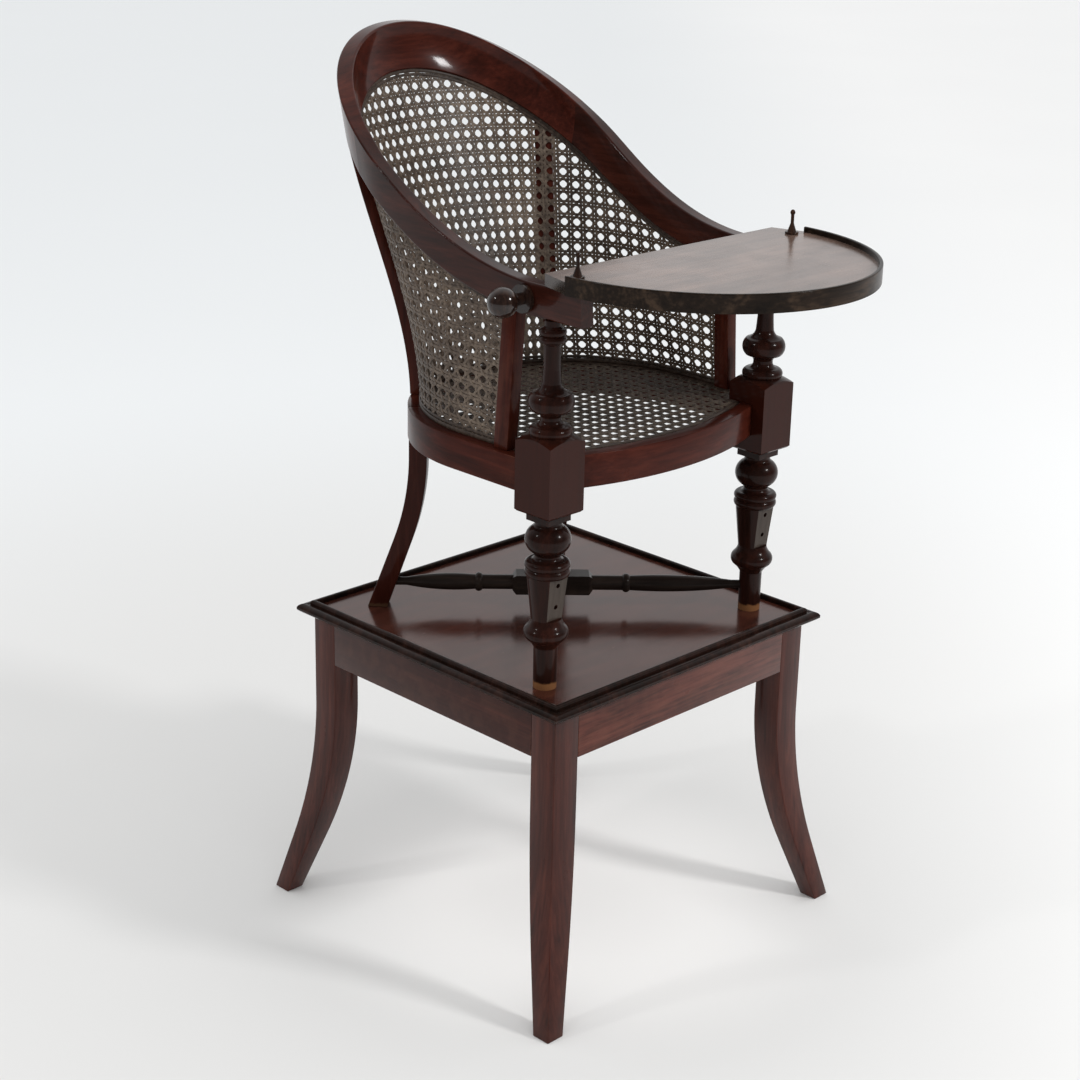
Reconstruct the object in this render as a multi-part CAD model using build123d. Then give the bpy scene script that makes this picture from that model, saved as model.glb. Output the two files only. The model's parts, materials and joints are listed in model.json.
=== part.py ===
from build123d import *
import math
import os

os.makedirs("parts", exist_ok=True)

# A child's caned high chair that stands on its own low table.
# Millimetres, +Z up. The chair faces -Y, and left is -X. The table is drawn about its
# own middle. The chair is drawn about the middle of its front legs, with the table's
# surface at zero. Both are then set in the frame of the whole, whose origin lies on
# the floor below the middle.

# Table
table_height = 350.0
table_half_x = 193.3
table_half_y = 187.5
board_thickness = 8.0
apron_height = 54.0
apron_thickness = 18.0
table_leg_side = 33.7
table_leg_bend = 240.0
table_leg_straight = 70.0
table_leg_outer_radius = 760.0
table_leg_inner_radius = 580.0
glue_block_side = 14.0
glue_block_length = 60.0

# Moulding round the table's top: a raised lip, a quirk and a thumb
lip_overhang = 3.0
lip_width = 6.0
lip_rise = 5.5
quirk_width = 1.5
thumb_width = 9.2
thumb_swell = 2.4
thumb_drop = 3.2
thumb_edge = 2.5

# Thumbscrew that holds the chair down on the table
screw_radius = 4.0
screw_clearance = 0.3
screw_reach = 14.0
screw_hole_spare = 2.0
screw_head_radius = 13.0
screw_head_round = 2.0
screw_head_height = 9.0
screw_waist_radius = 8.0
screw_waist_height = 4.0
washer_radius = 18.0
washer_thickness = 2.0

# Front legs: a square block between two turnings
leg_half_spacing = 159.5
front_setback = 137.7
block_side = 48.0
block_bottom = 187.0
block_top = 266.0
shoulder_radius = 20.5
shoulder_rise = 6.5
block_underchamfer = 2.0
step_side = 31.0
step_height = 9.0
facet_depth = 4.2
peg_radius = 2.5
peg_depth = 14.0

# Peg holes, as shares of the flat that they are drilled in
peg_shares = (0.32, 0.83)
# Ends of the leg's taper, which the flat follows: height and radius as in the turning
taper_low_share = (0.4, 0.65)
taper_high_share = (0.645, 0.86)
# Heights as shares of the turning's height, radii as shares of half the block's side.
# A row of two runs straight to its point. A row of four is an arc by way of its first pair.
lower_turning_shares = (
    (0.0, 0.5),
    (0.235, 0.51),
    (0.264, 0.66, 0.287, 0.85),
    (0.317, 0.955, 0.35, 0.86),
    (0.373, 0.72, *taper_low_share),
    taper_high_share,
    (0.668, 0.96, 0.69, 0.89),
    (0.712, 0.96, 0.733, 0.76),
    (0.751, 0.555, 0.772, 0.6),
    (0.85, 0.965, 0.92, 0.64),
    (0.937, 0.575, 0.952, 0.6),
)
upper_turning_shares = (
    (0.0, 0.84),
    (0.04, 0.9, 0.08, 0.77),
    (0.084, 0.71),
    (0.102, 0.51, 0.133, 0.435),
    (0.159, 0.435),
    (0.186, 0.51, 0.208, 0.73),
    (0.212, 0.79),
    (0.292, 0.955, 0.363, 0.835),
    (0.37, 0.8),
    (0.398, 0.54, 0.451, 0.4),
    (0.575, 0.36),
    (0.788, 0.35),
    (0.804, 0.43),
    (0.837, 0.56, 0.87, 0.46),
    (0.904, 0.56, 0.937, 0.43),
    (0.953, 0.34),
    (1.0, 0.34),
)

# Seat frame: straight sides, then half an ellipse round the back
seat_height = 240.0
rail_height = 34.0
rail_width = 22.0
block_reveal = 3.5
seat_straight = 120.0
seat_depth = 176.0
rail_joint_angle = 36.0
front_rail_setback = 16.0
front_rail_bow = 26.0
front_rail_end_width = 18.0
front_rail_width = 25.0

# Rear legs, set square to the seat frame's curve
rear_leg_side = 19.0
rear_leg_depth = 19.5
rear_leg_reveal = 0.5
rear_leg_angle = 49.5
rear_leg_bend = 175.0
rear_leg_straight = 80.0
rear_leg_outer_radius = 280.0
rear_leg_inner_radius = 291.0

# Arms and crest: the outer top edge is level, rises on a curve, then climbs steadily
arm_reach = 42.0
arm_overhang = 7.0
arm_height = 412.0
rise_start = 20.0
rise_end = 214.0
rise_slope = 0.66
spread_start = 60.0
arm_spread = 6.5
crest_straight = 235.0
crest_depth = 179.0
rail_thickness = 17.0
rail_round = 2.0
arm_rail_height = 33.0
crest_rail_height = 50.0
arm_lean = 1.5
crest_lean = 8.5
arm_hollow = 0.5
crest_hollow = 3.0
round_share = 0.29
crest_joint_share = 0.537

# Cane
cane_thickness = 2.4
cane_gap = 0.3
cane_inset = 14.0
cane_top_inset = 13.0
cane_bow = 8.5
cane_lap = 6.0
front_cane_border = 16.0
cane_pitch = 15.6
cane_hole_radius = 5.6
cane_margin = 3.0

# Uprights between the seat frame and the rail above
panel_stile_y = 56.0
panel_stile_depth = 19.0
panel_stile_width = 14.0
back_stile_depth = 20.0
back_stile_width = 13.0
back_stile_top_width = 11.0
back_stile_share = 0.714
back_stile_top_share = 0.625
stile_overrun_share = 0.1

# Crossed stretchers
stretcher_height = 28.0
stretcher_block_side = 22.0
stretcher_block_half = 44.0
stretcher_block_chamfer = 4.0
stretcher_radius = 8.2
ring_start = 77.0
ring_length = 8.0
ring_radius = 10.5
vase_radius = 9.3
vase_share = 0.28
tenon_radius = 4.5
tenon_length = 16.0
tenon_setback = 5.0
glue_line = 0.05

# Tray
tray_reach = 222.0
tray_back = 5.0
tray_back_inset = 11.0
tray_half_width = 178.0
tray_centre = 30.0
tray_lip_start = 32.0
tray_thickness = 12.0
tray_gap = 0.3
tray_lip_rise = 5.5
tray_lip_drop = 1.0
tray_lip_thickness = 4.0
tray_lip_round = 1.2

# Turned pins that hold the tray on the arms
pin_setback = 29.0
pin_radius = 3.0
pin_fit = 0.08
pin_depth = 18.0
pin_hole_spare = 1.0
pin_height = 25.0
pin_collar_radius = 6.5
pin_collar_swell = 0.6
pin_collar_height = 2.5
pin_cone_radius = 4.7
pin_cone_height = 11.0
pin_stem_radius = 1.75
pin_knob_radius = 2.6
pin_knob_flat = 0.9

# Bar across the front of the seat
bar_y = 33.0
bar_drop = 17.0
bar_radius = 6.0
bar_fit = 0.08
bar_seat = 12.0
bar_end_gap = 0.5
knob_gap = 0.3
knob_collar_radius = 14.0
knob_collar_thickness = 4.0
knob_neck_radius = 6.0
knob_neck_length = 9.0
knob_radius = 15.0
knob_spigot_radius = 3.5
knob_spigot_length = 20.0

# What follows from the sizes
board_under = table_height - board_thickness
block_half = block_side / 2
block_inner = leg_half_spacing - block_half
post_height = arm_height - arm_rail_height - block_top
rail_bottom = seat_height - rail_height
seat_half_width = leg_half_spacing + block_half - block_reveal
inner_half_width = seat_half_width - rail_width
inner_depth = seat_depth - rail_width
front_end_y = front_rail_setback - block_half
arm_half_width = leg_half_spacing + arm_overhang
crest_half_width = arm_half_width + arm_spread
tray_bottom = arm_height + tray_gap
tray_top = tray_bottom + tray_thickness
cane_half_width = seat_half_width - cane_inset
cane_low = seat_height - cane_thickness
pin_x = arm_half_width - rail_thickness / 2
chair_y = (tray_reach - crest_straight - crest_depth) / 2
table_y = chair_y + front_setback
table_place = Location((0, table_y, 0))
chair_place = Location((0, chair_y, table_height))

pieces = {}


def box(x0, x1, y0, y1, z0, z1):
    """A block between two opposite corners."""
    middle = Pos((x0 + x1) / 2, (y0 + y1) / 2, (z0 + z1) / 2)
    return middle * Box(abs(x1 - x0), abs(y1 - y0), abs(z1 - z0))


def prism(edges, low, high):
    """A flat outline raised from one height to another."""
    return Pos(0, 0, low) * extrude(make_face(edges), amount=high - low, dir=(0, 0, 1))


def frustum(low_half, high_half, low, high):
    """A square block whose sides lean evenly."""
    ends = [Pos(0, 0, low) * Rectangle(2 * low_half, 2 * low_half),
            Pos(0, 0, high) * Rectangle(2 * high_half, 2 * high_half)]
    return loft(ends, ruled=True)


def turned(rows):
    """Revolve an outline of (height, radius) rows. A row of four is an arc by way of its first pair."""
    spot = (rows[0][1], 0, rows[0][0])
    edges = [Line((0, 0, spot[2]), spot)]
    for row in rows[1:]:
        target = (row[-1], 0, row[-2])
        if len(row) == 2:
            edges.append(Line(spot, target))
        else:
            edges.append(ThreePointArc(spot, (row[1], 0, row[0]), target))
        spot = target
    if spot[0] > 0:
        edges.append(Line(spot, (0, 0, spot[2])))
    edges.append(Line((0, 0, spot[2]), (0, 0, rows[0][0])))
    return revolve(make_face(edges), Axis.Z)


def turned_shares(table, height, radius):
    """The same from a table of shares."""
    scales = (height, radius, height, radius)
    return turned([tuple(share * scale for share, scale in zip(row, scales)) for row in table])


def swept_edge(x, bend, straight, radius):
    """Edges that leave a height straight down, swing out on a radius and run straight to the floor."""
    turn = math.asin((bend - straight) / radius)
    middle = (x + radius * (1 - math.cos(turn / 2)), 0, bend - radius * math.sin(turn / 2))
    end = (x + radius * (1 - math.cos(turn)), 0, straight)
    foot = (end[0] + straight * math.tan(turn), 0, 0)
    return [ThreePointArc((x, 0, bend), middle, end), Line(end, foot)], foot


def swept_face(inner, outer, top, bend, straight, inner_radius, outer_radius):
    """Side view of a leg that sweeps out below its bend."""
    inner_edges, inner_foot = swept_edge(inner, bend, straight, inner_radius)
    outer_edges, outer_foot = swept_edge(outer, bend, straight, outer_radius)
    rest = [Line((inner, 0, bend), (inner, 0, top)), Line((inner, 0, top), (outer, 0, top)),
            Line((outer, 0, top), (outer, 0, bend)), Line(outer_foot, inner_foot)]
    return make_face(inner_edges + outer_edges + rest)


def keep_both(name, right, place):
    """Store a right-hand piece and its mirror image."""
    pieces[f"{name}_right"] = place * right
    pieces[f"{name}_left"] = place * mirror(right, about=Plane.YZ)


# Table: four legs, each sawn to the same sweep from the front and from the side
def leg_slab(half):
    """A leg's side view, carried across the whole table."""
    face = swept_face(half - table_leg_side, half, board_under, table_leg_bend, table_leg_straight,
                      table_leg_inner_radius, table_leg_outer_radius)
    return extrude(face, amount=table_half_x + table_half_y, dir=(0, 1, 0), both=True)


table_leg = leg_slab(table_half_x) & (Rot(0, 0, 90) * leg_slab(table_half_y))
keep_both("table_leg_rear", table_leg, table_place)
keep_both("table_leg_front", mirror(table_leg, about=Plane.XZ), table_place)

# Table: aprons, and the blocks glued behind them
half_block = glue_block_length / 2
apron_low = board_under - apron_height
glue_low = board_under - glue_block_side
for name, sign in (("front", -1), ("rear", 1)):
    end = table_half_x - table_leg_side
    face = table_half_y - apron_thickness
    apron = box(-end, end, sign * face, sign * table_half_y, apron_low, board_under)
    glue = box(-half_block, half_block, sign * (face - glue_block_side), sign * face, glue_low, board_under)
    pieces[f"table_apron_{name}"] = table_place * apron
    pieces[f"table_glue_block_{name}"] = table_place * glue
for name, sign in (("left", -1), ("right", 1)):
    end = table_half_y - table_leg_side
    face = table_half_x - apron_thickness
    apron = box(sign * face, sign * table_half_x, -end, end, apron_low, board_under)
    glue = box(sign * (face - glue_block_side), sign * face, -half_block, half_block, glue_low, board_under)
    pieces[f"table_apron_{name}"] = table_place * apron
    pieces[f"table_glue_block_{name}"] = table_place * glue

# Chair: rear legs, sawn from the side only
rear_angle = math.radians(rear_leg_angle)
rear_inset = rear_leg_reveal + rear_leg_depth / 2
rear_x = (seat_half_width - rear_inset) * math.cos(rear_angle)
rear_y = seat_straight + (seat_depth - rear_inset) * math.sin(rear_angle)
rear_heading = math.atan2((seat_half_width - rear_inset) * math.sin(rear_angle),
                          (seat_depth - rear_inset) * math.cos(rear_angle))
rear_half = rear_leg_depth / 2
rear_face = swept_face(-rear_half, rear_half, rail_bottom, rear_leg_bend, rear_leg_straight,
                       rear_leg_inner_radius, rear_leg_outer_radius)
rear_leg = extrude(rear_face, amount=rear_leg_side / 2, dir=(0, 1, 0), both=True)
rear_leg = Pos(rear_x, rear_y, 0) * Rot(0, 0, math.degrees(rear_heading)) * rear_leg

# Chair: where the stretchers meet the rear legs, and where they cross
rear_slice = rear_leg & box(0, seat_half_width, 0, seat_straight + 2 * seat_depth,
                            stretcher_height - glue_line, stretcher_height + glue_line)
tie_x = rear_slice.center().X
tie_y = rear_slice.center().Y
cross_y = tie_y * leg_half_spacing / (leg_half_spacing + tie_x)
front_length = math.hypot(leg_half_spacing, cross_y)
rear_length = math.hypot(tie_x, tie_y - cross_y)


def along(x, y):
    """Place that turns +Z towards a leg from the stretchers' crossing."""
    direction = (x, y - cross_y, 0)
    return Plane(origin=(0, cross_y, stretcher_height), z_dir=direction, x_dir=(0, 0, 1)).location


def stretcher_arm(length):
    """A turned arm of the cross, from the crossing to its tenon's end."""
    end = length - tenon_setback
    neck = end - tenon_length
    ring_end = ring_start + ring_length
    vase_mid = ring_end + (neck - ring_end) * vase_share
    edges = [
        Line((0, 0, 0), (stretcher_radius, 0, 0)),
        Line((stretcher_radius, 0, 0), (stretcher_radius, 0, ring_start)),
        ThreePointArc((stretcher_radius, 0, ring_start), (ring_radius, 0, ring_start + ring_length / 2),
                      (stretcher_radius, 0, ring_end)),
        Spline((stretcher_radius, 0, ring_end), (vase_radius, 0, vase_mid), (tenon_radius, 0, neck)),
        Line((tenon_radius, 0, neck), (tenon_radius, 0, end)),
        Line((tenon_radius, 0, end), (0, 0, end)),
        Line((0, 0, end), (0, 0, 0)),
    ]
    return revolve(make_face(edges), Axis.Z)


def mortise(length):
    """The hole that a tenon fits, set like its arm."""
    middle = length - tenon_setback - tenon_length / 2 + glue_line
    return Pos(0, 0, middle) * Cylinder(tenon_radius + glue_line, tenon_length)


keep_both("rear_leg", rear_leg - along(tie_x, tie_y) * mortise(rear_length), chair_place)

# Chair: stretchers, one through member with the block, and two halves
cross_turn = math.degrees(math.atan2(-cross_y, leg_half_spacing))
cross_place = Pos(0, cross_y, stretcher_height) * Rot(0, 0, cross_turn)
cross_block = Box(2 * stretcher_block_half, stretcher_block_side, stretcher_block_side)
for end in (0, -1):
    end_edges = cross_block.faces().sort_by(Axis.X)[end].edges()
    cross_block = chamfer(end_edges, stretcher_block_chamfer)
cross_room_side = stretcher_block_side + 2 * glue_line
cross_room = cross_place * Box(2 * stretcher_block_half, cross_room_side, cross_room_side)
screw_top = stretcher_height - stretcher_block_side / 2 + screw_reach
screw_hole = Cylinder(screw_radius + screw_clearance, 2 * (screw_top + screw_hole_spare))
through = cross_place * cross_block
through += along(leg_half_spacing, 0) * stretcher_arm(front_length)
through += along(-tie_x, tie_y) * stretcher_arm(rear_length)
half_front = along(-leg_half_spacing, 0) * stretcher_arm(front_length) - cross_room
half_rear = along(tie_x, tie_y) * stretcher_arm(rear_length) - cross_room
pieces["stretcher_through"] = chair_place * (through - Pos(0, cross_y, 0) * screw_hole)
pieces["stretcher_half_front"] = chair_place * half_front
pieces["stretcher_half_rear"] = chair_place * half_rear

# Chair: front legs in one piece, from foot to arm
block_low = block_bottom + block_underchamfer
corner_radius = math.hypot(block_half, block_half)
shoulder_slope = shoulder_rise / (corner_radius - shoulder_radius)
shoulder_low = block_top - (block_side - shoulder_radius) * shoulder_slope
shoulder = turned([(block_low, block_side), (shoulder_low, block_side), (block_top, shoulder_radius)])
leg = turned_shares(lower_turning_shares, block_bottom, block_half)
leg += frustum(step_side / 2, step_side / 2, block_bottom - step_height, block_bottom)
leg += frustum(block_half - block_underchamfer, block_half, block_bottom, block_low)
leg += frustum(block_half, block_half, block_low, block_top) & shoulder
leg += Pos(0, 0, block_top) * turned_shares(upper_turning_shares, post_height, block_half)

flat_low_z = taper_low_share[0] * block_bottom
flat_high_z = taper_high_share[0] * block_bottom
flat_low_y = facet_depth - taper_low_share[1] * block_half
flat_high_y = facet_depth - taper_high_share[1] * block_half
cutter = make_face(Polyline((0, flat_low_y, flat_low_z), (0, flat_high_y, flat_high_z),
                            (0, -block_side, flat_high_z), (0, -block_side, flat_low_z), close=True))
leg -= extrude(cutter, amount=block_side, dir=(1, 0, 0), both=True)
for share in peg_shares:
    peg_z = flat_low_z + (flat_high_z - flat_low_z) * share
    peg_y = flat_low_y + (flat_high_y - flat_low_y) * share
    leg -= Pos(0, peg_y, peg_z) * Rot(90, 0, 0) * Cylinder(peg_radius, 2 * peg_depth)
leg = Pos(leg_half_spacing, 0, 0) * leg
keep_both("front_leg", leg - along(leg_half_spacing, 0) * mortise(front_length), chair_place)


# Chair: seat frame, rebated for the cane
def bow(end_x, end_y, rise):
    """A shallow curve across the front."""
    return ThreePointArc((-end_x, end_y), (0, end_y - rise), (end_x, end_y))


def seat_outline(grow):
    """Outline of the seat's cane, notched round the front legs' blocks."""
    half = inner_half_width + cane_lap + grow
    depth = inner_depth + cane_lap + grow
    notch_x = block_inner - cane_gap + grow
    notch_y = block_half + cane_gap - grow
    front_y = front_end_y + front_cane_border - grow
    edges = [bow(notch_x, front_y, front_rail_bow),
             EllipticalCenterArc((0, seat_straight), half, depth, 0, arc_size=180)]
    for side in (-1, 1):
        spots = [(side * notch_x, front_y), (side * notch_x, notch_y), (side * half, notch_y),
                 (side * half, seat_straight)]
        edges += [Line(a, b) for a, b in zip(spots, spots[1:])]
    return edges


def rail_arcs(start, size):
    """Outer and inner edge of the seat frame's round back, between two angles."""
    outer = EllipticalCenterArc((0, seat_straight), seat_half_width, seat_depth, start, arc_size=size)
    inner = EllipticalCenterArc((0, seat_straight), inner_half_width, inner_depth, start, arc_size=size)
    return outer, inner


seat_recess = prism(seat_outline(cane_gap), cane_low, seat_height + rail_height)
outer = bow(block_inner, front_end_y, front_rail_bow)
inner = bow(block_inner, front_end_y + front_rail_end_width,
            front_rail_bow + front_rail_end_width - front_rail_width)
front_rail = prism([outer, inner, Line(outer @ 0, inner @ 0), Line(outer @ 1, inner @ 1)],
                   rail_bottom, seat_height)

outer, inner = rail_arcs(0, rail_joint_angle)
outer_corner = (seat_half_width, block_half)
inner_corner = (inner_half_width, block_half)
side_rail = prism([outer, inner, Line(outer @ 1, inner @ 1), Line(outer @ 0, outer_corner),
                   Line(inner @ 0, inner_corner), Line(inner_corner, outer_corner)],
                  rail_bottom, seat_height)

outer, inner = rail_arcs(rail_joint_angle, 180 - 2 * rail_joint_angle)
back_rail = prism([outer, inner, Line(outer @ 0, inner @ 0), Line(outer @ 1, inner @ 1)],
                  rail_bottom, seat_height)
pieces["seat_rail_front"] = chair_place * (front_rail - seat_recess)
pieces["seat_rail_back"] = chair_place * (back_rail - seat_recess)
keep_both("seat_rail", side_rail - seat_recess, chair_place)


# Chair: seat cane, a flat net of eight-sided gaps
def in_opening(x, y):
    """Whether a gap at this place keeps clear of the frame."""
    clear = cane_margin + cane_hole_radius
    back = max(0.0, y - seat_straight) / (inner_depth - clear)
    front = front_end_y - front_rail_bow * (1 - (x / block_inner) ** 2) + front_rail_width + clear
    if abs(x) > block_inner - clear:
        front = block_half + clear
    return (x / (inner_half_width - clear)) ** 2 + back ** 2 < 1 and y > front


rows = math.ceil((seat_straight + seat_depth) / cane_pitch)
columns = math.ceil(seat_half_width / cane_pitch)
gaps = []
for row in range(-rows, rows + 1):
    for column in range(-columns, columns + 1):
        x = column * cane_pitch
        y = seat_straight + row * cane_pitch
        if in_opening(x, y):
            gap = Pos(x, y, 0) * RegularPolygon(cane_hole_radius, 8, rotation=22.5)
            gaps.append(gap.face().outer_wire())
net = make_face(seat_outline(0)).face().make_holes(gaps)
pieces["seat_cane"] = chair_place * Pos(0, 0, cane_low) * extrude(net, amount=cane_thickness, dir=(0, 0, 1))

# Chair: right half of the plan that the cane stands on, and of the rail's outer top edge
seat_path = Wire([
    Line((cane_half_width, block_half), (cane_half_width, seat_straight)),
    EllipticalCenterArc((0, seat_straight), cane_half_width, seat_depth - cane_inset, 0, arc_size=90),
])
rim_path = Wire([
    Line((arm_half_width, rise_start), (arm_half_width, spread_start)),
    Spline((arm_half_width, spread_start), (crest_half_width, crest_straight), tangents=[(0, 1), (0, 1)]),
    EllipticalCenterArc((0, crest_straight), crest_half_width, crest_depth, 0, arc_size=90),
])


def station(path, share):
    """Point and outward direction at a share of a half plan; past 1 it goes on round the other half."""
    side = -1 if share > 1 else 1
    here = min(share, 2 - share)
    spot = path @ here
    heading = path % here
    return side * spot.X, spot.Y, side * heading.Y, -heading.X


def rim_z(y):
    """Height of the outer top edge."""
    run = rise_end - rise_start
    curved = min(max(y - rise_start, 0.0), run)
    return arm_height + rise_slope * curved ** 2 / (2 * run) + rise_slope * max(y - rise_end, 0.0)


def swell(y):
    """Share of the way from the arm's section to the crest's."""
    share = (max(y, rise_start) - rise_start) / (crest_straight + crest_depth - rise_start)
    return share * share * (3 - 2 * share)


def between(arm_size, crest_size, y):
    """A size of the rail that changes from the arm to the crest."""
    return arm_size + (crest_size - arm_size) * swell(y)


def under_rail(share, inset):
    """A point just below the rail, at an inset from its outer face, with the outward direction."""
    x, y, nx, ny = station(rim_path, share)
    inward = between(arm_lean, crest_lean, y) + inset
    z = rim_z(y) - between(arm_rail_height, crest_rail_height, y) - cane_gap
    return x - nx * inward, y - ny * inward, z, nx, ny


def under_slope(share, length):
    """Slope of the rail's underside over a length of its run."""
    step = length / 2 / rim_path.length
    return (under_rail(share + step, 0)[2] - under_rail(share - step, 0)[2]) / length


def rail_section(share):
    """Outline of the rail across its run: rounded corners and a hollow inner face."""
    x, y, nx, ny = station(rim_path, share)
    height = between(arm_rail_height, crest_rail_height, y)
    lean = between(arm_lean, crest_lean, y)
    hollow = between(arm_hollow, crest_hollow, y)
    near = rail_round * round_share
    low = height - rail_round
    wide = rail_thickness

    def spot(inward, drop):
        """A point of the section, from the outer top edge."""
        slid = inward + lean * drop / height
        return x - nx * slid, y - ny * slid, rim_z(y) - drop

    return Wire([
        ThreePointArc(spot(0, rail_round), spot(near, near), spot(rail_round, 0)),
        Line(spot(rail_round, 0), spot(wide - rail_round, 0)),
        ThreePointArc(spot(wide - rail_round, 0), spot(wide - near, near), spot(wide, rail_round)),
        ThreePointArc(spot(wide, rail_round), spot(wide - hollow, height / 2), spot(wide, low)),
        ThreePointArc(spot(wide, low), spot(wide - near, height - near), spot(wide - rail_round, height)),
        Line(spot(wide - rail_round, height), spot(rail_round, height)),
        ThreePointArc(spot(rail_round, height), spot(near, height - near), spot(0, low)),
        Line(spot(0, low), spot(0, rail_round)),
    ])


def spread(first, last, count):
    """Evenly spaced values from first to last."""
    return [first + (last - first) * i / count for i in range(count + 1)]


# Chair: arms, with holes for the tray's pins and the bar, and the crest between them
arm = Solid.make_loft([rail_section(share) for share in spread(0, crest_joint_share, 11)])
arm += extrude(Face(rail_section(0)), amount=arm_reach + rise_start, dir=(0, -1, 0))
pin_hole = Cylinder(pin_radius + pin_fit, 2 * (pin_depth + pin_hole_spare))
arm -= Pos(pin_x, -pin_setback, arm_height) * pin_hole
bar_z = arm_height - bar_drop
bar_end = arm_half_width - rail_thickness + bar_seat
hole_length = bar_end + 2 * arm_half_width
bar_hole = Rot(0, 90, 0) * Cylinder(bar_radius + bar_fit, hole_length)
bar_hole = Pos(bar_end - hole_length / 2, bar_y, bar_z) * bar_hole
pieces["arm_right"] = chair_place * (arm - bar_hole)
pieces["arm_left"] = chair_place * (mirror(arm, about=Plane.YZ) - bar_hole)
crest_shares = spread(crest_joint_share, 2 - crest_joint_share, 18)
pieces["crest_rail"] = chair_place * Solid.make_loft([rail_section(share) for share in crest_shares])


# Chair: straight uprights at the front of the side panels
def across(x, y, z, nx, ny, depth, width, slope=0):
    """Four corners of an upright at one height, set across the outward direction."""
    corners = []
    for u, v in ((-1, -1), (1, -1), (1, 1), (-1, 1)):
        du = u * depth / 2
        dv = v * width / 2
        corners.append(Vector(x - ny * du + nx * dv, y + nx * du + ny * dv, z + slope * du))
    return corners


def outlines(rows):
    """Closed outlines of rows of corners."""
    return [Wire.make_polygon(corners, close=True) for corners in rows]


def panel_upright(depth, width, overrun_share=0):
    """An upright from the seat frame to the rail's underside, or past both by a share."""
    low_x, low_y, low_nx, low_ny = station(seat_path, panel_low_share)
    low = across(low_x, low_y, seat_height, low_nx, low_ny, depth, width)
    high = across(*under_rail(panel_high_share, rail_thickness / 2), depth, width,
                  under_slope(panel_high_share, depth))
    low_end = [a + (a - b) * overrun_share for a, b in zip(low, high)]
    high_end = [b + (b - a) * overrun_share for a, b in zip(low, high)]
    return Solid.make_loft(outlines([low_end, high_end]), ruled=True)


panel_low_share = (panel_stile_y - block_half) / seat_path.length
panel_high_share = (panel_stile_y - rise_start) / rim_path.length
keep_both("panel_stile", panel_upright(panel_stile_depth, panel_stile_width), chair_place)


# Chair: cane of the sides and the back, bowed inwards over the back uprights
def cane_line(low_share, high_share, count):
    """Points up the cane's middle, and the direction halfway between the outward ones of its ends."""
    low_x, low_y, low_nx, low_ny = station(seat_path, low_share)
    high_x, high_y, high_z, high_nx, high_ny = under_rail(high_share, cane_top_inset)
    low = Vector(low_x, low_y, seat_height)
    high = Vector(high_x, high_y, high_z)
    outward = Vector(low_nx + high_nx, low_ny + high_ny, 0).normalized()
    side_share = (min(low_share, 2 - low_share) - panel_low_share) / (back_stile_share - panel_low_share)
    bow = outward * cane_bow * min(side_share, 1)
    points = [low + (high - low) * t - bow * bow_share(t) for t in spread(0, 1, count)]
    return points, outward


def bow_share(t):
    """Share of the bow at a share of the height. It is fullest a third of the way up."""
    return 27 / 4 * t * (1 - t) ** 2


def cane_panel(low_shares, high_shares, count):
    """A thin bowed panel between the seat frame and the rail's underside."""
    sections = []
    for low_share, high_share in zip(spread(*low_shares, count), spread(*high_shares, count)):
        points, outward = cane_line(low_share, high_share, 6)
        half = outward * cane_thickness / 2
        outer = Spline(*[point + half for point in points])
        inner = Spline(*[point - half for point in points])
        sections.append(Wire([outer, Line(outer @ 1, inner @ 1), inner, Line(inner @ 0, outer @ 0)]))
    return Solid.make_loft(sections)


side_cane = cane_panel((panel_low_share, back_stile_share), (panel_high_share, back_stile_top_share), 12)
side_cane -= panel_upright(panel_stile_depth + 2 * cane_gap, 4 * panel_stile_width, stile_overrun_share)
back_low_shares = (back_stile_share, 2 - back_stile_share)
back_high_shares = (back_stile_top_share, 2 - back_stile_top_share)
keep_both("side_cane", side_cane, chair_place)
pieces["back_cane"] = chair_place * cane_panel(back_low_shares, back_high_shares, 16)

# Chair: bowed uprights just outside the cane
points, _ = cane_line(back_stile_share, back_stile_top_share, 6)
low_nx, low_ny = station(seat_path, back_stile_share)[2:]
high_nx, high_ny = station(rim_path, back_stile_top_share)[2:]
back_slope = under_slope(back_stile_top_share, back_stile_depth)
rows = []
for point, t in zip(points, spread(0, 1, 6)):
    turned_out = Vector(low_nx + (high_nx - low_nx) * t, low_ny + (high_ny - low_ny) * t, 0).normalized()
    width = back_stile_width + (back_stile_top_width - back_stile_width) * t
    middle = point + turned_out * (cane_thickness / 2 + cane_gap + width / 2)
    rows.append(across(*middle, turned_out.X, turned_out.Y, back_stile_depth, width, back_slope * t))
keep_both("back_stile", Solid.make_loft(outlines(rows)), chair_place)


# Tray: a board with a thin bent lip round its front
def tray_arc(inset):
    """The tray's rounded front, moved inwards."""
    depth = tray_reach - tray_centre - inset
    angle = math.degrees(math.asin((tray_lip_start - tray_centre) / depth))
    return EllipticalCenterArc((0, -tray_centre), tray_half_width - inset, depth, 180 + angle,
                               arc_size=180 - 2 * angle)


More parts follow.
